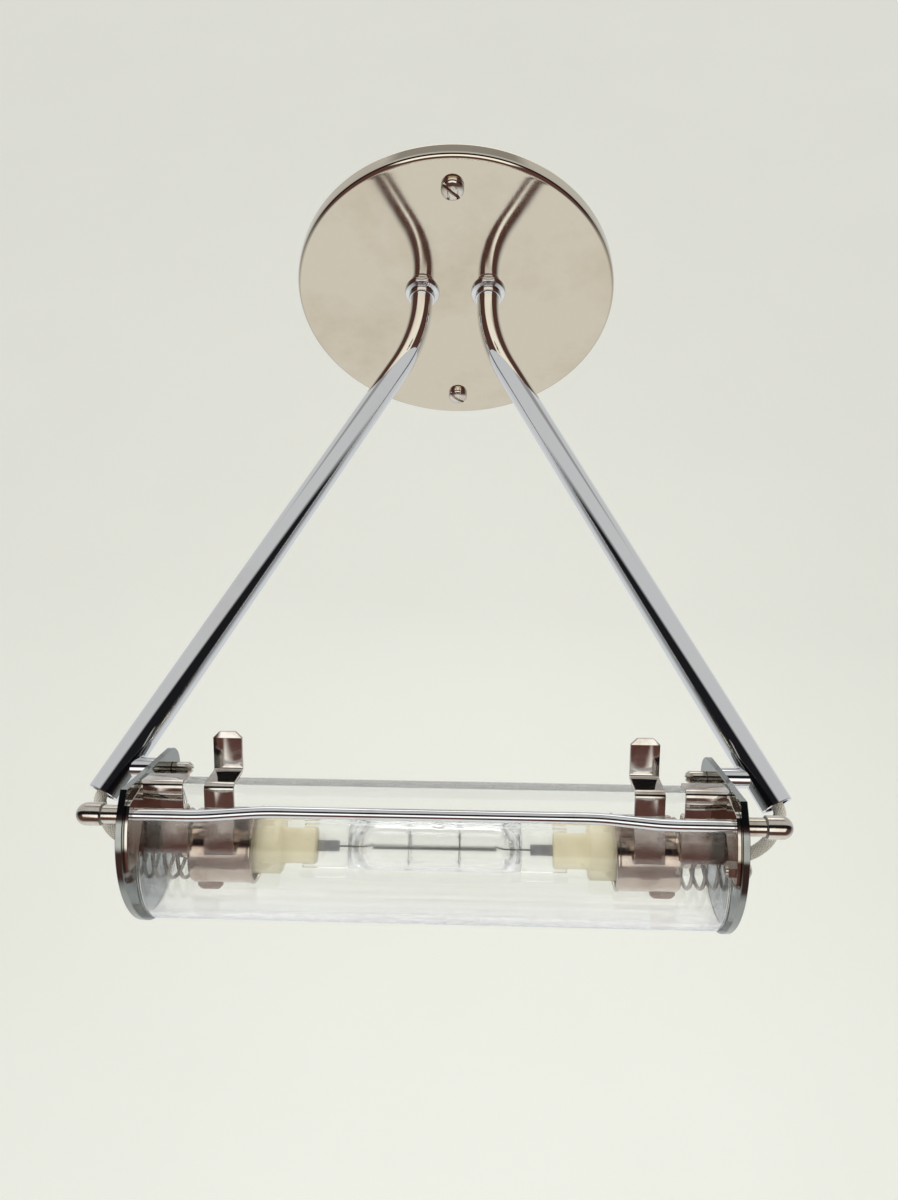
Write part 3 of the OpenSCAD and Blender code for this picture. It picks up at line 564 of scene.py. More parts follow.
# %% Finishes for the plain nodes
PLAIN = {
    ZINC: ("crossbar", "earth_screw", "lock_nuts", "left_guide", "right_guide"),
    CHROME: ("left_spacer", "right_spacer"), NICKEL: ("pivot_screws", "plate_screw"),
    HOLDER_CERAMIC: ("left_insulator", "right_insulator"), MOLYBDENUM: ("lamp_foils",),
    BRASS: ("left_contact", "right_contact", "lamp_contacts"),
}
for finish, names in PLAIN.items():
    for name in names:
        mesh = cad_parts[name].data
        mesh.materials.clear()
        mesh.materials.append(finish)
print("plain nodes:", sum(map(len, PLAIN.values())))

# %% [markdown]
# The canopy
# ----------
# A disc pressed from sheet. Its profile goes from the face over a rounded edge, up the rim,
# round the open lip and back inside. The flat face has holes for the arms and the screws.

# %% Canopy


def canopy():
    """Rings of (r cos a, r sin a, z) for a profile of (r, z), closed by two holed faces."""
    r, h, wall, edge = CANOPY_R, CANOPY_H, CANOPY_WALL, CANOPY_EDGE
    outside = arc((r - edge, -h + edge), edge, -90, 0, 14)
    lip = eased([(r, -0.6), (r, 0), (r - wall, 0), (r - wall, -0.6)], 0.35, 5)
    inside = arc((r - edge, -h + edge), edge - wall, 0, -90, 8)
    flat_r = r - edge - 1
    profile = np.concatenate([[(flat_r, -h)], outside, lip, inside, [(flat_r, -h + wall)]])
    rings = standing_loops([round_section(at, 256) for at in profile[:, 0]], profile[:, 1])
    arm_hole, screw_hole = ARM_R + SEAT_GAP, SCREW_R + 2 * SEAT_GAP
    holes = [standing_loops([round_section(radius, 48) + (x, y)] * 2, (-h, -h + wall))
             for x, y, radius in ((ARM_X, -ARM_FRONT, arm_hole), (-ARM_X, -ARM_FRONT, arm_hole),
                                  (0, SCREW_Y, screw_hole), (0, -SCREW_Y, screw_hole))]
    face, back = (face_of([rings[k]] + [hole[k] for hole in holes]) for k in (0, -1))
    return together(skin(rings, ends=False), *(skin(hole, ends=False) for hole in holes), face, back)


piece("canopy_shell", canopy(), CANOPY_NICKEL, "fixture", ["canopy"], sharp=50)

# %% [markdown]
# Two slotted screws with domed heads hold it. The slot is a thin box that a Boolean modifier
# takes away from the head, and the modifier is applied at once.

# %% Slotted screws


def box_points(low, high):
    """The eight corners and six faces of a box, corners first in x, then y, then z."""
    x, y, z = (np.array(c, float) for c in zip(low, high))
    corners = np.stack(np.meshgrid(x, y, z, indexing="ij"), -1).reshape(-1, 3)
    faces = [[0, 1, 3, 2], [4, 6, 7, 5], [0, 4, 5, 1], [2, 3, 7, 6], [0, 2, 6, 4], [1, 5, 7, 3]]
    return corners, faces, np.zeros((24, 2))


def cut(obj, cutter_skin):
    """Take the cutter's volume away from the piece and keep the result as its mesh."""
    cutter = piece(obj.name + "_cutter", cutter_skin, obj.data.materials[0], None)
    modifier = obj.modifiers.new("cut", "BOOLEAN")
    modifier.operation, modifier.solver, modifier.object = "DIFFERENCE", "EXACT", cutter
    seen = obj.evaluated_get(bpy.context.evaluated_depsgraph_get())
    mesh = bpy.data.meshes.new_from_object(seen)
    obj.modifiers.clear()
    obj.data = mesh
    mesh.set_sharp_from_angle(angle=math.radians(35))
    bpy.data.objects.remove(cutter)
    print("  after the cut:", len(mesh.polygons), "faces")


def face_screw():
    """Shank up through the bar, a short straight rim and a dome: r = R cos a, h = H sin a."""
    rim = SCREW_HEAD_H * 0.42
    a = np.radians(np.linspace(4, 90, 14))
    dome = np.stack([rim + (SCREW_HEAD_H - rim) * np.sin(a), SCREW_HEAD_R * np.cos(a)], -1)
    shank = [(-CANOPY_H + 0.3, 0), (-CANOPY_H + 0.3, SCREW_R - 0.4), (-CANOPY_H + 0.7, SCREW_R),
             (0, SCREW_R), (0, SCREW_HEAD_R - 0.2), (0.2, SCREW_HEAD_R)]
    return skin(turned(np.concatenate([shank, dome]), 56), ends=False)


def hung(made, x, y, z):
    """A shape turned along x now points down at a place on the canopy's face."""
    depth, across, along = made[0].T
    return np.stack([across + x, -along + y, z - depth], -1), *made[1:]


SLOT_TURN, SLOT_REACH = math.radians(40), 9
screws = piece("canopy_screw_pair", together(*(hung(face_screw(), 0, y, -CANOPY_H) for y in (SCREW_Y, -SCREW_Y))),
               NICKEL, "fixture", ["canopy_screws"])
c, s = math.cos(SLOT_TURN), math.sin(SLOT_TURN)
box, *rest = box_points((-SLOT_REACH, -SCREW_R / 4, -CANOPY_H - SLOT_REACH),
                        (SLOT_REACH, SCREW_R / 4, -CANOPY_H - SCREW_HEAD_H / 2))
box = box @ np.array([[c, s, 0], [-s, c, 0], [0, 0, 1]])
cut(screws, together(*((box + (0, y, 0), *rest) for y in (SCREW_Y, -SCREW_Y))))

# %% [markdown]
# Each arm leaves the canopy through a turned chrome collar with a rounded flange and a short
# barrel: a lathe shape, so a profile turned round the arm's line makes it.

# %% Collars


def collar():
    """Profile (depth below the face, radius): flange bead, waist, barrel and bore."""
    r, f, b, h = COLLAR_R, COLLAR_FLANGE_H, COLLAR_BARREL_R, COLLAR_H
    bore = ARM_R + SEAT_GAP
    line = eased([(0, bore), (0, r), (f * 0.62, r), (f * 0.95, b - 0.35), (f * 1.25, b), (h, b), (h, bore)],
                 [0, 0.25, 0.6, 0.3, 0.3, 0.55, 0], 6)
    return skin(turned(line, 64), wrap_rows=True)


for side_name, side in SIDES:
    piece(f"{side_name}_arm_collar", hung(collar(), side * ARM_X, -ARM_FRONT, -CANOPY_H), CHROME, "fixture",
          [f"{side_name}_collar"])

# %% [markdown]
# The arms
# --------
# Each arm is one chrome tube: straight through the canopy, one gentle bend, then straight to
# the tilt axis. A ring is carried down the line for the outside and back up for the inside,
# so the tube is hollow and its open end shows a wall.

# %% Arms


def in_plane(points, y):
    """Points (x, z) in an upright plane at y."""
    return np.insert(points, 1, y, axis=1)


def splayed(s):
    """(x, z) on the arm's lower stretch, at distances s past the elbow."""
    return np.stack([ARM_X + s * math.sin(ARM_SPLAY), ELBOW_Z - s * math.cos(ARM_SPLAY)], -1)


def arm_line(start_z, end_s, bend_steps=40):
    """Down to the bend, then x + R (1 - cos a) and z - R sin a, then on along the splay."""
    bend_z = ELBOW_Z + BEND_RUN
    a = np.linspace(0, ARM_SPLAY, bend_steps)
    top = [(ARM_X, start_z), (ARM_X, 0.5 * (start_z + bend_z))]
    bend = np.stack([ARM_X + ARM_BEND_R * (1 - np.cos(a)), bend_z - ARM_BEND_R * np.sin(a)], -1)
    down = splayed(np.linspace(BEND_RUN, end_s, 14)[1:])
    return in_plane(np.concatenate([top, bend, down]), -ARM_FRONT)


def arm():
    """The outer rings, a narrowed lip at each end, and the inner rings on the way back."""
    out, inn, lip = ARM_R, ARM_R - ARM_WALL, 0.2
    line = arm_line(ARM_TOP, ARM_L)
    t0, t1 = unit(line[0] - line[1]), unit(line[-1] - line[-2])
    inset0, inset1 = line[0] - t0 * lip, line[-1] - t1 * lip
    line = np.concatenate([line[:1], [inset0], line[1:-1], [inset1], line[-1:]])

    def wall(radius, end_radius):
        sections = [round_section(r, 56) for r in (end_radius, *[radius] * (len(line) - 2), end_radius)]
        return carried(line, np.stack(sections), (0, 1, 0))

    return skin(np.concatenate([wall(out, out - lip), wall(inn, inn + lip)[::-1]]), wrap_rows=True)


for side_name, side in SIDES:
    piece(f"{side_name}_arm_tube", placed(arm(), side, frame_of=np.asarray), ARM_CHROME, "fixture",
          [f"{side_name}_arm"])

# %% [markdown]
# The end plates
# --------------
# Two flat chrome plates carry the head. The outline is a round with two straight edges that
# run together into a rounded tip, where the plate turns on its screw.

# %% End plates


def plate_outline():
    """The round from one straight edge the long way to the other, then the tip's own round.
    The second edge is the first mirrored in the line from the middle through the tip."""
    lean = math.degrees(math.atan2(TIP[1], TIP[0]))
    first = 180 - math.degrees(math.asin(PLATE_FLAT / PLATE_R))
    body = arc((0, 0), PLATE_R, first, 360 + 2 * lean - first, 130)
    tip = arc(TIP, TIP_R, 2 * lean - 90, 90, 40)
    return np.concatenate([body, tip])


def end_plate(side):
    """Holes for the pivot screw, the tie rod, the hollow guide and, on the right, a screw."""
    holes = [(TIP, PIVOT_HOLE_R), ((-ROD_FRONT, ROD_UP), ROD_R + SEAT_GAP), ((0, -GLASS_DROP), GUIDE_HOLE_R)]
    if side > 0:
        holes.append((PLATE_SCREW_AT, PLATE_SCREW_HOLE_R))
    return plate(plate_outline(), [round_section(r, 32) + c for c, r in holes], PLATE_IN, PLATE_OUT, 0.18)


for side_name, side in SIDES:
    piece(f"{side_name}_plate", placed(end_plate(side), side, order=(2, 0, 1)), PLATE_CHROME_PAINTED_REFLECTION, "head",
          [f"{side_name}_end_plate"])

# %% [markdown]
# The tie rod keeps the plates apart along the front edge of the glass. It is bent up a
# little in the middle, and a domed cap nut closes each end outside the plates.

# %% Tie rod and cap nuts


def rod_line():
    """Half the line from the outside inward with both corners eased, then its mirror."""
    outer = PLATE_IN - ROD_STEP_IN
    inner = outer - ROD_STEP_L
    raised = ROD_UP + ROD_STEP
    corners = [(PLATE_OUT + NUT_NECK_L + NUT_L / 2, ROD_UP), (outer, ROD_UP), (inner, raised), (0, raised)]
    half = eased(corners, 4.0, 10)[:-1]
    return in_plane(np.concatenate([half, half[::-1] * (-1, 1)]), -ROD_FRONT)


def cap_nut():
    """Profile (x, radius): neck, a broken shoulder, the straight part and a round end."""
    neck = PLATE_OUT + NUT_NECK_L
    middle = neck + NUT_L - NUT_R
    a = np.radians(np.linspace(0, 90, 14))
    dome = np.stack([middle + NUT_R * np.sin(a), NUT_R * np.cos(a)], -1)
    start = [(PLATE_OUT, 0), (PLATE_OUT, NUT_NECK_R), (neck - 0.1, NUT_NECK_R), (neck, NUT_R - 0.35),
             (neck + 0.35, NUT_R)]
    return skin(turned(np.concatenate([start, dome]), 48, (-ROD_FRONT, ROD_UP)), ends=False)


rod = skin(in_head(carried(rod_line(), round_section(ROD_R, 24), (0, 1, 0))))
piece("front_tie_rod", rod, CHROME, "head", ["tie_rod"])
piece("cap_nut_pair", together(placed(cap_nut()), placed(cap_nut(), -1)), NICKEL, "head", ["cap_nuts"])

# %% [markdown]
# The glass
# ---------
# A clear tube with its upper side cut away. A closed loop of (distance along, radius) is
# swept round the lamp's line, and each lip closes in a half round, as a flame leaves it.

# %% Glass tube


def glass_shell():
    """Angle from lip to lip the long way round; at a lip the wall shrinks as cos b while the
    angle runs on by sin b, for b from 0 to 90 degrees."""
    half, end, corner = GLASS_WALL / 2, PLATE_IN, 0.45
    mid = GLASS_R - half
    loop = eased([(-end, -half), (end, -half), (end, half), (-end, half)], corner, 5, closed=True)
    b = np.radians(np.linspace(90, 0, 10))
    lip_angle = half / mid * np.sin(b)
    open_half = GLASS_OPENING / 2 + half / mid
    along = np.linspace(open_half, 2 * np.pi - open_half, 120)
    angle = np.concatenate([open_half - lip_angle, along[1:-1], 2 * np.pi - open_half + lip_angle[::-1]])
    thick = np.concatenate([np.cos(b), np.ones(len(along) - 2), np.cos(b[::-1])])
    radius = mid + loop[None, :, 1] * thick[:, None]
    x = np.broadcast_to(loop[None, :, 0], radius.shape)
    t, n = radius * np.sin(angle)[:, None], radius * np.cos(angle)[:, None] - GLASS_DROP
    return skin(in_head(np.stack([x, t, n], -1)), ends=False)


piece("glass_shade", glass_shell(), CLEAR_GLASS, "head", ["glass_tube"], sharp=60)

# %% [markdown]
# The holders
# -----------
# Each holder is a spun cup on a hollow guide, pushed toward the lamp by a spring. The cup is
# a lathe shape with a rolled bead at its mouth; the lug below it was cut from the same sheet.

# %% Cups


def cup():
    """Profile (x, radius): floor, inner wall, bead, outer wall, rounded back and bush."""
    bore, floor, inner = GUIDE_HOLE_R, CUP_BACK - CUP_WALL, CUP_R - CUP_WALL
    back, end, bead = CUP_BACK, CUP_BACK + BUSH_L, 0.6
    line = np.concatenate([
        eased([(floor, bore), (floor, inner), (CUP_MOUTH + bead, inner)], 0.5, 4),
        arc((CUP_MOUTH + bead, CUP_R - bead / 2), bead, 230, 40, 12),
        eased([(CUP_MOUTH + 1.3, CUP_R), (back, CUP_R), (back, BUSH_R + 0.3), (back + 0.3, BUSH_R),
               (end, BUSH_R), (end, bore)], [0, 1.3, 0.2, 0.2, 0.4, 0], 7)])
    return skin(turned(line, 72, (0, -GLASS_DROP)), wrap_rows=True)


def cup_lug():
    """A small tab with clipped corners below the cup, standing across it."""
    width, foot, clip, root = 7.0, -CUP_R - 3.1, 1.2, -CUP_R + 1.2
    outline = [(0, root), (0, foot + clip), (clip, foot),
               (width - clip, foot), (width, foot + clip), (width, root)]
    return plate(np.array(outline) + (CUP_BACK - width - 0.4, -GLASS_DROP), [], -STRIP_T, 0.0, 0.15)


for side_name, side in SIDES:
    made = together(placed(cup(), side), placed(cup_lug(), side, order=(0, 2, 1)))
    piece(f"{side_name}_holder_cup", made, CUP_NICKEL, f"{side_name}_holder", [f"{side_name}_cup"],
          sharp=45)

# %% [markdown]
# A spring is one wire wound round the guide. The pitch is less at both ends, where the wire
# lies on its seat. When a holder slides back, its spring closes up between the plate and the
# cup; here it is made in place and hangs on no moving body.

# %% Springs


def spring():
    """x follows the eased share of the turns, t and n are R sin a and R cos a."""
    turns = np.linspace(0, 1, 40 * SPRING_TURNS + 1)
    share = 0.72 * turns + 0.28 * (0.5 - 0.5 * np.cos(np.pi * turns))
    a = 2 * np.pi * SPRING_TURNS * turns
    x = CUP_BACK + SPRING_WIRE / 2 + (SPRING_L - SPRING_WIRE) * share
    line = np.stack([x, SPRING_R * np.sin(a), SPRING_R * np.cos(a) - GLASS_DROP], -1)
    return skin(carried(line, round_section(SPRING_WIRE / 2, 12), (1, 0, 0)))


for side_name, side in SIDES:
    wire = piece(f"{side_name}_holder_spring", placed(spring(), side), SPRING_STEEL, None,
                 [f"{side_name}_spring"])
    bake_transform(wire)

# %% [markdown]
# Brackets and finger straps are bent strip. The line of the strip is drawn once across the
# head with its corners eased, and a thin rounded section is carried along it.

# %% Bent strips


def strip(line, ease, x0, x1, ends=None):
    """A section of width x1 - x0 and the strip's thickness along a line of (t, n) points;
    `ends` gives the half width at each point of the finished line."""
    flat = eased(line, ease, 7)
    mid, half = (x0 + x1) / 2, (x1 - x0) / 2
    path = np.insert(flat, 0, mid, axis=1)
    widths = np.full(len(path), half) if ends is None else ends(flat, half)
    h, round_r = STRIP_T / 2, 0.22
    corner = ((0, round_r), (round_r * 0.3, round_r * 0.3), (round_r, 0))
    section = [(sx, sy, *(d if sx * sy > 0 else d[::-1])) for sx, sy in ((1, -1), (1, 1), (-1, 1), (-1, -1))
               for d in corner]
    sx, sy, dx, dy = np.array(section).T
    across = sx * (widths[:, None] - dx)
    through = np.broadcast_to(sy * (h - dy), across.shape)
    return skin(carried(path, np.stack([across, through], -1), (1, 0, 0)))


LIP_N = -GLASS_DROP + GLASS_R * math.cos(GLASS_OPENING / 2) + 0.6 + STRIP_T / 2
BRACKET_FRONT, BRACKET_TOP, LEG_FRONT, LEG_DOWN = 15.3, 15.5, 10.8, 6.1
BRACKET_TOP_BACK = 0.68 * BRACKET_FRONT
HOLDER_TRAVEL, STRAP_GAP = 3.5, 0.5
BRACKET_IN = CUP_BACK - STRAP_SET_BACK + HOLDER_TRAVEL + STRAP_GAP
TAB_BACK, TAB_TOP, TAB_CLIP, STRAP_TOP, STRAP_RISE = -1.5, 24.7, 1.7, 12.8, 0.8


def bracket_flange(side):
    """A crescent against the plate: from the round edge in to the glass, row by row."""
    top, glass_space = BRACKET_TOP - STRIP_T, GLASS_R + 1.2
    rows = np.linspace(PLATE_SCREW_AT[1] - 3.2, top, 40)
    left = np.maximum(-np.sqrt((PLATE_R - 1) ** 2 - rows**2), -PLATE_R + (rows - (top - 3)) * 4.0)
    right = np.minimum(-BRACKET_FRONT, -np.sqrt(np.maximum(glass_space**2 - (rows + GLASS_DROP) ** 2, 0)))
    outline = np.concatenate([np.stack([left, rows], -1), np.stack([right, rows], -1)[::-1]])
    holes = [round_section(ROD_R + SEAT_GAP, 24) + (-ROD_FRONT, ROD_UP)]
    if side > 0:
        holes.append(round_section(PLATE_SCREW_HOLE_R, 24) + PLATE_SCREW_AT)
    return plate(outline, holes, PLATE_IN - STRIP_T, PLATE_IN, 0.1)


def bracket():
    """Along the top to the front, down, in over the lip of the glass, and down the leg."""
    top = BRACKET_TOP - STRIP_T / 2
    line = [(-BRACKET_TOP_BACK + STRIP_T / 2, top), (-BRACKET_FRONT, top),
            (-BRACKET_FRONT, LIP_N), (-LEG_FRONT, LIP_N), (-LEG_FRONT, -LEG_DOWN)]
    return strip(line, 1.3, BRACKET_IN, PLATE_IN)


def tab_width(flat, half):
    """The tab's corners are clipped: the half width falls as fast as its last bit of height."""
    return half - np.clip(flat[:, 1] - (TAB_TOP - TAB_CLIP), 0, TAB_CLIP)


def finger_strap():
    """Down the tab, out to the front, down the leg, and in under the cup."""
    strap_out = CUP_BACK - STRAP_SET_BACK
    foot, cup_side = -LEG_DOWN - STRIP_T / 2, -10.0
    line = [(TAB_BACK, TAB_TOP), (TAB_BACK, TAB_TOP - TAB_CLIP), (TAB_BACK, STRAP_TOP + STRAP_RISE),
            (-LEG_FRONT, STRAP_TOP), (-LEG_FRONT, foot), (cup_side, foot)]
    return strip(line, [0, 0.02, 1.4, 1.4, 0.3, 0], strap_out - STRAP_W, strap_out, tab_width)


for side_name, side in SIDES:
    made = together(placed(bracket_flange(side), side, order=(2, 0, 1)), placed(bracket(), side))
    piece(f"{side_name}_bent_bracket", made, STRIP_NICKEL, "head", [f"{side_name}_bracket"])
    piece(f"{side_name}_strap", placed(finger_strap(), side), STRIP_NICKEL, f"{side_name}_holder",
          [f"{side_name}_finger_strap"])

# %% [markdown]
# The lamp
# --------
# The burner is quartz tube, pinched flat at both ends over the foils. Its section changes
# from a round to a flat bar, which a superellipse does in one formula:
# |t / a|^p + |n / b|^p = 1, with a, b and p changing along the lamp.

# %% Quartz burner
HOOP_X, DENT_DEPTH, DENT_SPREAD = 6.8, 0.13, 0.9


def superellipse(a, b, p, sides):
    """Points (a sgn(c)|c|^(2/p), b sgn(s)|s|^(2/p)), with (c, s) on the round section."""
    ring = round_section(1.0, sides)
    return np.stack([a, b], -1)[:, None] * np.sign(ring) * np.abs(ring) ** (2 / p)[:, None, None]


def burner():
    """Stations along x with the half thickness, the half height and the power at each; the
    sealed-off tip is a low bump on top, and the inner wall faces the hollow."""
    x = np.array([0, 8, 15, 18, 19.5, 21, 22.2, 23.4, 25, 30, 35.9, 36.2, 39.6, 40])
    r = QUARTZ_R
    a = np.array([r, r, r, 6.15, 5.75, 4.8, 3.4, 2.2, 1.6, 1.6, 1.6, 1.6, 1.6, 1.3])
    b = np.array([r, r, r, 6.2, 6.1, 6.0, 5.95, 5.9, 5.9, 5.9, 5.9, 3.95, 3.95, 3.6])
    p = np.array([2, 2, 2, 2, 2.1, 2.4, 3, 4, 5, 6, 6, 6, 6, 6])
    fine = np.unique(np.concatenate([np.linspace(0, 25, 60), x]))
    x, a, b, p = fine, *(np.interp(fine, x, v) for v in (a, b, p))
    x, a, b, p = (np.concatenate([sign * v[::-1], v[1:]]) for v, sign in ((x, -1), (a, 1), (b, 1), (p, 1)))
    rings = with_x(x, superellipse(a, b, p, 64))
    tip_x, tip_h, tip_spread = 1.0, 1.6, 1.1
    away = (rings[..., 0] - tip_x) ** 2 + rings[..., 1] ** 2
    bump = tip_h * np.exp(-away / tip_spread) * (rings[..., 2] > 0)
    rings = dimpled(rings)
    rings[..., 2] += bump
    cavity = np.array([(0, 5.25), (16, 5.25), (18.5, 5.0), (20.3, 3.6), (21.1, 1.6), (21.3, 0)])
    cavity = eased(np.concatenate([cavity[::-1] * (-1, 1), cavity[1:]]), 0.8, 5)
    stations = np.unique(np.concatenate([cavity[:, 0], np.linspace(-16, 16, 97)]))
    cavity = np.stack([stations, np.interp(stations, cavity[:, 0], cavity[:, 1])], -1)
    return skin(in_lamp(rings)), skin(in_lamp(dimpled(turned(cavity, 64))), ends=False)


def dimpled(rings):
    """Four dents stand round the tube at each wire hoop; a dent pulls a point in toward the
    line by a share of its radius, times exp(-dx^2 / spread) and the fourth power of sin 2a."""
    a = np.arctan2(rings[..., 2], rings[..., 1])
    near = np.exp(-(np.abs(rings[..., 0]) - HOOP_X) ** 2 / DENT_SPREAD)
    pull = 1 - DENT_DEPTH * near * np.cos(2 * a + np.pi / 2) ** 4
    return rings * np.stack([np.ones_like(pull), pull, pull], -1)


def facing(made, outward):
    """A closed skin turned so that its signed volume, the sum of a.(b x c) / 6, has a sign."""
    points, faces, uv = made
    a, b, c = points[np.array([[f[0], f[k], f[k + 1]] for f in faces for k in range(1, len(f) - 1)]).T]
    volume = np.sum(a * np.cross(b, c))
    return made if (volume > 0) == outward else (points, [f[::-1] for f in faces], uv)


outer, cavity = burner()
piece("quartz_burner", together(facing(outer, True), facing(cavity, False)), QUARTZ, "head", ["lamp_quartz"],
      sharp=60, tidy=False)

# %% [markdown]
# The ceramic ends grip the pinched quartz with a block, widen to a round shoulder and end in
# a neck with a recess for the contact. The same superellipse turns the block into a round,
# with doubled stations where the shape steps.

# %% Ceramic ends


def ceramic_end():
    """Stations (x, half thickness, half height, power) of the block, then (x, radius) of the
    round; the last three go into the recess."""
    end = LAMP_L / 2
    block = [(32.2, 3.2, 4.4, 7), (32.5, 3.6, 4.8, 7), (41.3, 3.6, 4.8, 7), (41.7, 4.0, 5.2, 6)]
    turned_part = [(41.7, 7.2), (42.2, 7.7), (49.4, 7.7), (50.0, 7.2), (50.0, 5.6), (50.3, 5.4),
                   (end - 0.5, 5.4), (end, 4.9), (end, 2.4), (end - 0.2, 2.3), (end - 2.3, 2.3)]
    rows = np.array(block + [(x, r, r, 2) for x, r in turned_part])
    x, thick, high, power = rows.T
    return skin(with_x(x, superellipse(thick, high, power, 56)))


ends = together(*(placed(ceramic_end(), side, frame_of=in_lamp) for _, side in SIDES))
piece("ceramic_lamp_ends", ends, CERAMIC, "head", ["lamp_bases"], sharp=50)

# %% [markdown]
# Inside is a tungsten coil on two legs, kept off the quartz by small wire rings. The coil is
# a helix, with few sides to its wire because it is so thin.

# %% Filament


def filament():
    """The coil's line is (x, R cos a, R sin a); the legs are straight and the hoops round."""
    turns, coil_r, wire_r = 68, 0.68, 0.12
    a = np.linspace(0, 2 * np.pi * turns, turns * 10 + 1)
    coil = np.stack([np.linspace(-17, 17, len(a)), coil_r * np.cos(a), coil_r * np.sin(a)], -1)
    parts = [skin(carried(coil, round_section(wire_r, 5), (1, 0, 0)))]
    hoop_r, hoop_wire_r = 4.95, 0.11
    for _, side in SIDES:
        leg = [(side * x, 0, n) for x, n in ((16.8, coil_r), (18.2, 0.2), (19.5, 0), (26, 0))]
        parts.append(skin(carried(eased(leg, 0.6, 4), round_section(0.25, 8), (0, 1, 0))))
        q = np.linspace(0, 2 * np.pi, 40, endpoint=False)
        out = np.stack([0 * q, np.sin(q), np.cos(q)], -1)[:, None]
        wire = round_section(hoop_wire_r, 8)
        ring = (side * HOOP_X, 0, 0) + hoop_r * out + wire[:, :1] * out + wire[:, 1:] * (1, 0, 0)
        parts.append(skin(ring, wrap_rows=True))
        post = np.array([(side * HOOP_X, 0, n) for n in (0.7, 2.8, hoop_r)])
        parts.append(skin(carried(post, wire, (0, 1, 0))))
    return placed(together(*parts), frame_of=in_lamp)


piece("filament_coil", filament(), TUNGSTEN, "head", ["lamp_filament"])

# %% [markdown]
# The leads
# ---------
# A sleeved wire runs down inside each arm, leaves its open end, makes a short loop behind
# the tilt axis and goes into the hollow guide of its holder. The real wire bends with the head;
# here it is made in place and hangs on no moving body. It bends with the head, so the
# loop blends from the fixture to the head, while the stretch in the arm stays with the arm.

# %% Leads
AXIS_AT = np.array([0.0, -ARM_FRONT, -HEAD_DROP])
LEAD_LOOP = np.array([(94.6, 1.2, -12.2), (91.4, 4.0, -17.2), (85.6, 6.2, -20.1)])


def smooth_line(knots, steps=8):
    """A Catmull-Rom curve through the knots: each stretch uses its two neighbours as well."""
    k = np.concatenate([2 * knots[:1] - knots[1:2], knots, 2 * knots[-1:] - knots[-2:-1]])
    a, b, c, d = k[:-3, None], k[1:-2, None], k[2:-1, None], k[3:, None]
    u = np.linspace(0, 1, steps, endpoint=False)[None, :, None]
    line = 0.5 * (2 * b + (c - a) * u + (2 * a - 5 * b + 4 * c - d) * u**2 + (3 * b - a - 3 * c + d) * u**3)
    return np.concatenate([line.reshape(-1, 3), knots[-1:]])


def lead_line():
    """The arm's own line, the loop from the tilt axis, then straight into the guide."""
    inside = arm_line(ARM_TOP - 0.2, ARM_L - 8, 12)
    mouth = in_plane(splayed(np.array([ARM_L - 4, ARM_L + 1])), -ARM_FRONT)
    entry = in_head([(PLATE_OUT + 1, 0, -GLASS_DROP), (CUP_BACK + BUSH_L, 0, -GLASS_DROP)])
    return smooth_line(np.concatenate([inside, mouth, LEAD_LOOP + AXIS_AT, entry]))


for side_name, side in SIDES:
    line = on_side(lead_line(), side)
    wire = piece(f"{side_name}_sleeved_lead", skin(carried(line, round_section(LEAD_R, 20), (0, 1, 0))), SLEEVE,
                 None, [f"{side_name}_lead"], sharp=60)
    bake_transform(wire)
    print("lead length", round(float(np.linalg.norm(np.diff(line, axis=0), axis=1).sum())), "mm")

# %% [markdown]
# The studio
# ----------
# A pale floor that turns up into a wall stands in for the white room. What the chrome
# mirrors is painted in the world by direction, for mirrored light only: pale above and
# behind, dark low in front. The dark part draws the stripe down each arm.

# %% Floor and wall
FLOOR_FRONT, FLOOR_Z, WALL_Y, WALL_TOP, FLOOR_HALF, FLOOR_COLUMNS = -1.6, -0.62, 1.5, 4.4, 2.4, 9


def studio():
    """A profile (y, z) in metres with an eased corner, carried along x."""
    corners = eased([(FLOOR_FRONT, FLOOR_Z), (WALL_Y, FLOOR_Z), (WALL_Y, WALL_TOP)], 0.9, 40) / MM
    x = np.broadcast_to(np.linspace(-FLOOR_HALF, FLOOR_HALF, FLOOR_COLUMNS) / MM, (len(corners), FLOOR_COLUMNS))
    y, z = (np.broadcast_to(c[:, None], x.shape) for c in corners.T)
    return np.stack([x, y, z], -1)


def path_of_light(tree):
    """1 where the camera looks or light has come through glass; 1 where a mirror turned it."""
    path = node(tree, "ShaderNodeLightPath").outputs
    seen = maths(tree, "MAXIMUM", path["Is Camera Ray"], path["Is Transmission Ray"])
    return seen, maths(tree, "MINIMUM", path["Glossy Depth"], 1.0)


def studio_finish():
    """A pale paint, lifted toward white by its own light where the camera or the glass sees it;
    a path that a mirror has turned goes through it, out to the painted room."""
    made, tree, shader, place = new_finish("studio_paint")
    cloud = noise(tree, place["Object"], 3.0)
    seen, mirrored = path_of_light(tree)
    fill(tree, shader, {"Roughness": 0.9, "Emission Color": (1.0, 1.0, 0.93, 1),
                        "Base Color": blend_colour(tree, cloud, (0.64, 0.645, 0.60), (0.68, 0.685, 0.64)),
                        "Emission Strength": product(tree, seen, 0.30)})
    clear = node(tree, "ShaderNodeBsdfTransparent")
    both = node(tree, "ShaderNodeMixShader", {0: mirrored, 1: shader.outputs[0], 2: clear.outputs[0]})
    fill(tree, tree.nodes["Material Output"], {"Surface": both.outputs[0]})
    return made


backdrop = piece("studio_floor", skin(studio(), wrap_cols=False), studio_finish(), None, tidy=False)
backdrop.visible_glossy = False

# %% World and lamps


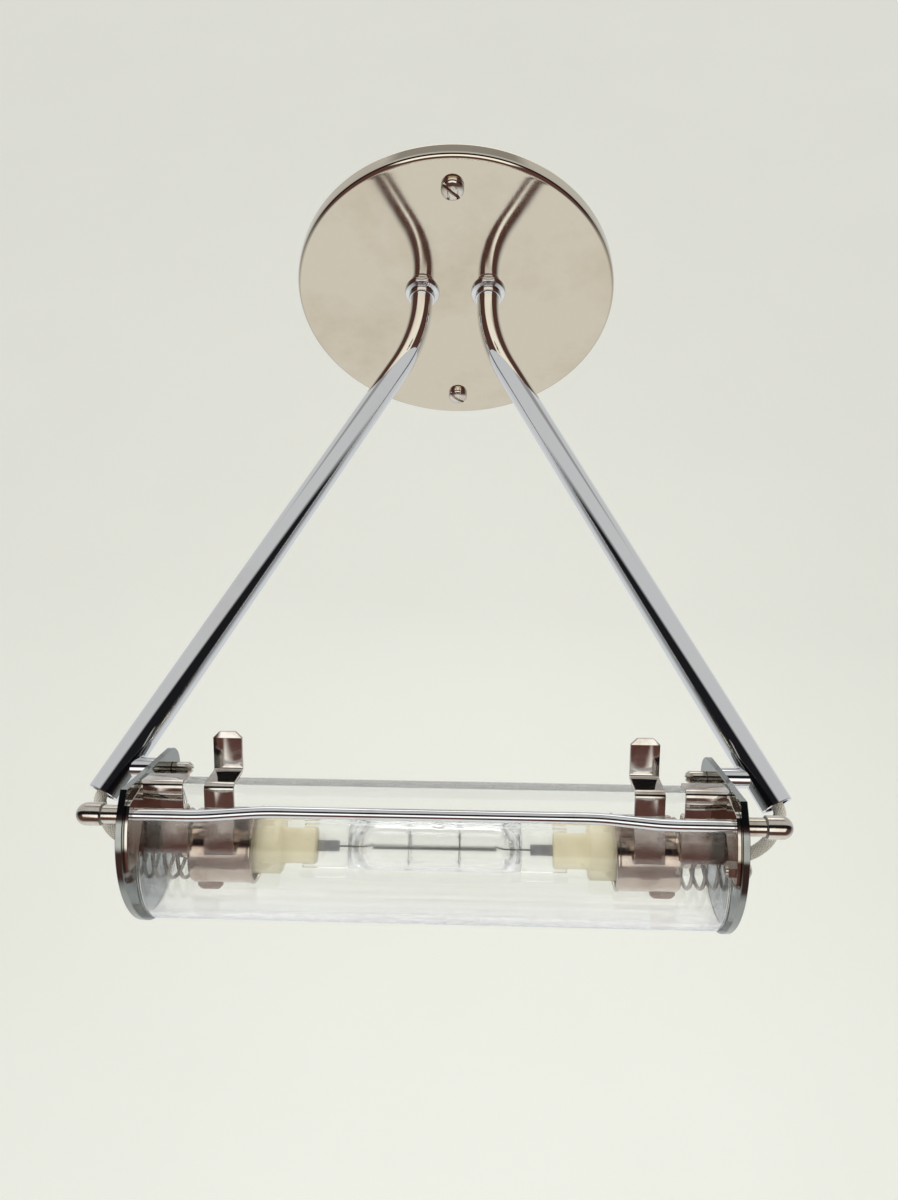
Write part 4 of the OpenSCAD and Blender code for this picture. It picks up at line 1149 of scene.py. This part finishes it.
def make_world():
    """Off is the angle away from the front, lift the angle above the horizon. Each stretch of
    the mirror room is a colour between two angles of off and two of lift, laid over the last."""
    world = bpy.data.worlds.new("studio_world")
    world.use_nodes = True
    tree = world.node_tree
    way = node(tree, "ShaderNodeTexCoord").outputs["Generated"]
    x, y, z = node(tree, "ShaderNodeSeparateXYZ", {0: way}).outputs
    off = maths(tree, "ABSOLUTE", maths(tree, "ARCTAN2", x, product(tree, y, -1.0)))
    lift = maths(tree, "ARCSINE", z)

    def below(value, high, soft):
        """1 up to an angle in degrees, falling to 0 over `soft` degrees."""
        return spread(tree, value, math.radians(high + soft), math.radians(high))

    def window(value, low, high, soft):
        """1 between two angles in degrees, falling to 0 over `soft` degrees outside them."""
        rise = spread(tree, value, math.radians(low - soft), math.radians(low))
        return product(tree, rise, below(value, high, soft))

    room = blend_colour(tree, window(off, -1, 100, 40), (0.70, 0.72, 0.73), (0.62, 0.62, 0.61))
    room = blend_colour(tree, window(lift, -89, -22, 14), room, (0.86, 0.86, 0.84))
    for side_share, height_share, colour in (
            (window(off, -1, 42, 12), window(lift, 47, 60, 4), (0.34, 0.33, 0.32)),
            (below(off, 80, 50), below(lift, 6, 6), (0.012, 0.012, 0.014)),
            (below(off, 84, 20), window(lift, -89, -24, 8), (0.13, 0.064, 0.054)),
            (window(off, -1, 34, 6), window(lift, -50, -26, 4), (1.45, 1.45, 1.40)),
            (window(off, -1, 70, 20), window(lift, 64, 82, 4), (1.6, 1.6, 1.55))):
        room = blend_colour(tree, product(tree, side_share, height_share), room, colour)
    seen, mirrored = path_of_light(tree)
    pale = blend_colour(tree, seen, (0.62, 0.62, 0.60), (0.82, 0.82, 0.78))
    fill(tree, tree.nodes["Background"], {"Color": blend_colour(tree, mirrored, pale, room), "Strength": 1.0})
    bpy.context.scene.world = world


def soft_lamp(name, at, size, power):
    """A square light that looks at the lamp's middle."""
    data = bpy.data.lights.new(name, "AREA")
    data.size, data.energy = size, power
    lamp = added(name, data)
    back = unit(np.array(at) - (0.0, 0.0, -0.15))
    right = unit(np.cross([0, 0, 1], back))
    lamp.matrix_world = standing(right, np.cross(back, right), back, at)
    lamp.visible_glossy = False


make_world()
soft_lamp("front_light", (-0.7, -0.9, 0.5), 0.9, 6.0)
soft_lamp("side_light", (1.1, -0.2, 0.2), 0.7, 4.0)
soft_lamp("top_light", (0.1, 0.5, 1.1), 0.9, 5.0)
bpy.context.scene.view_settings.view_transform = "Standard"
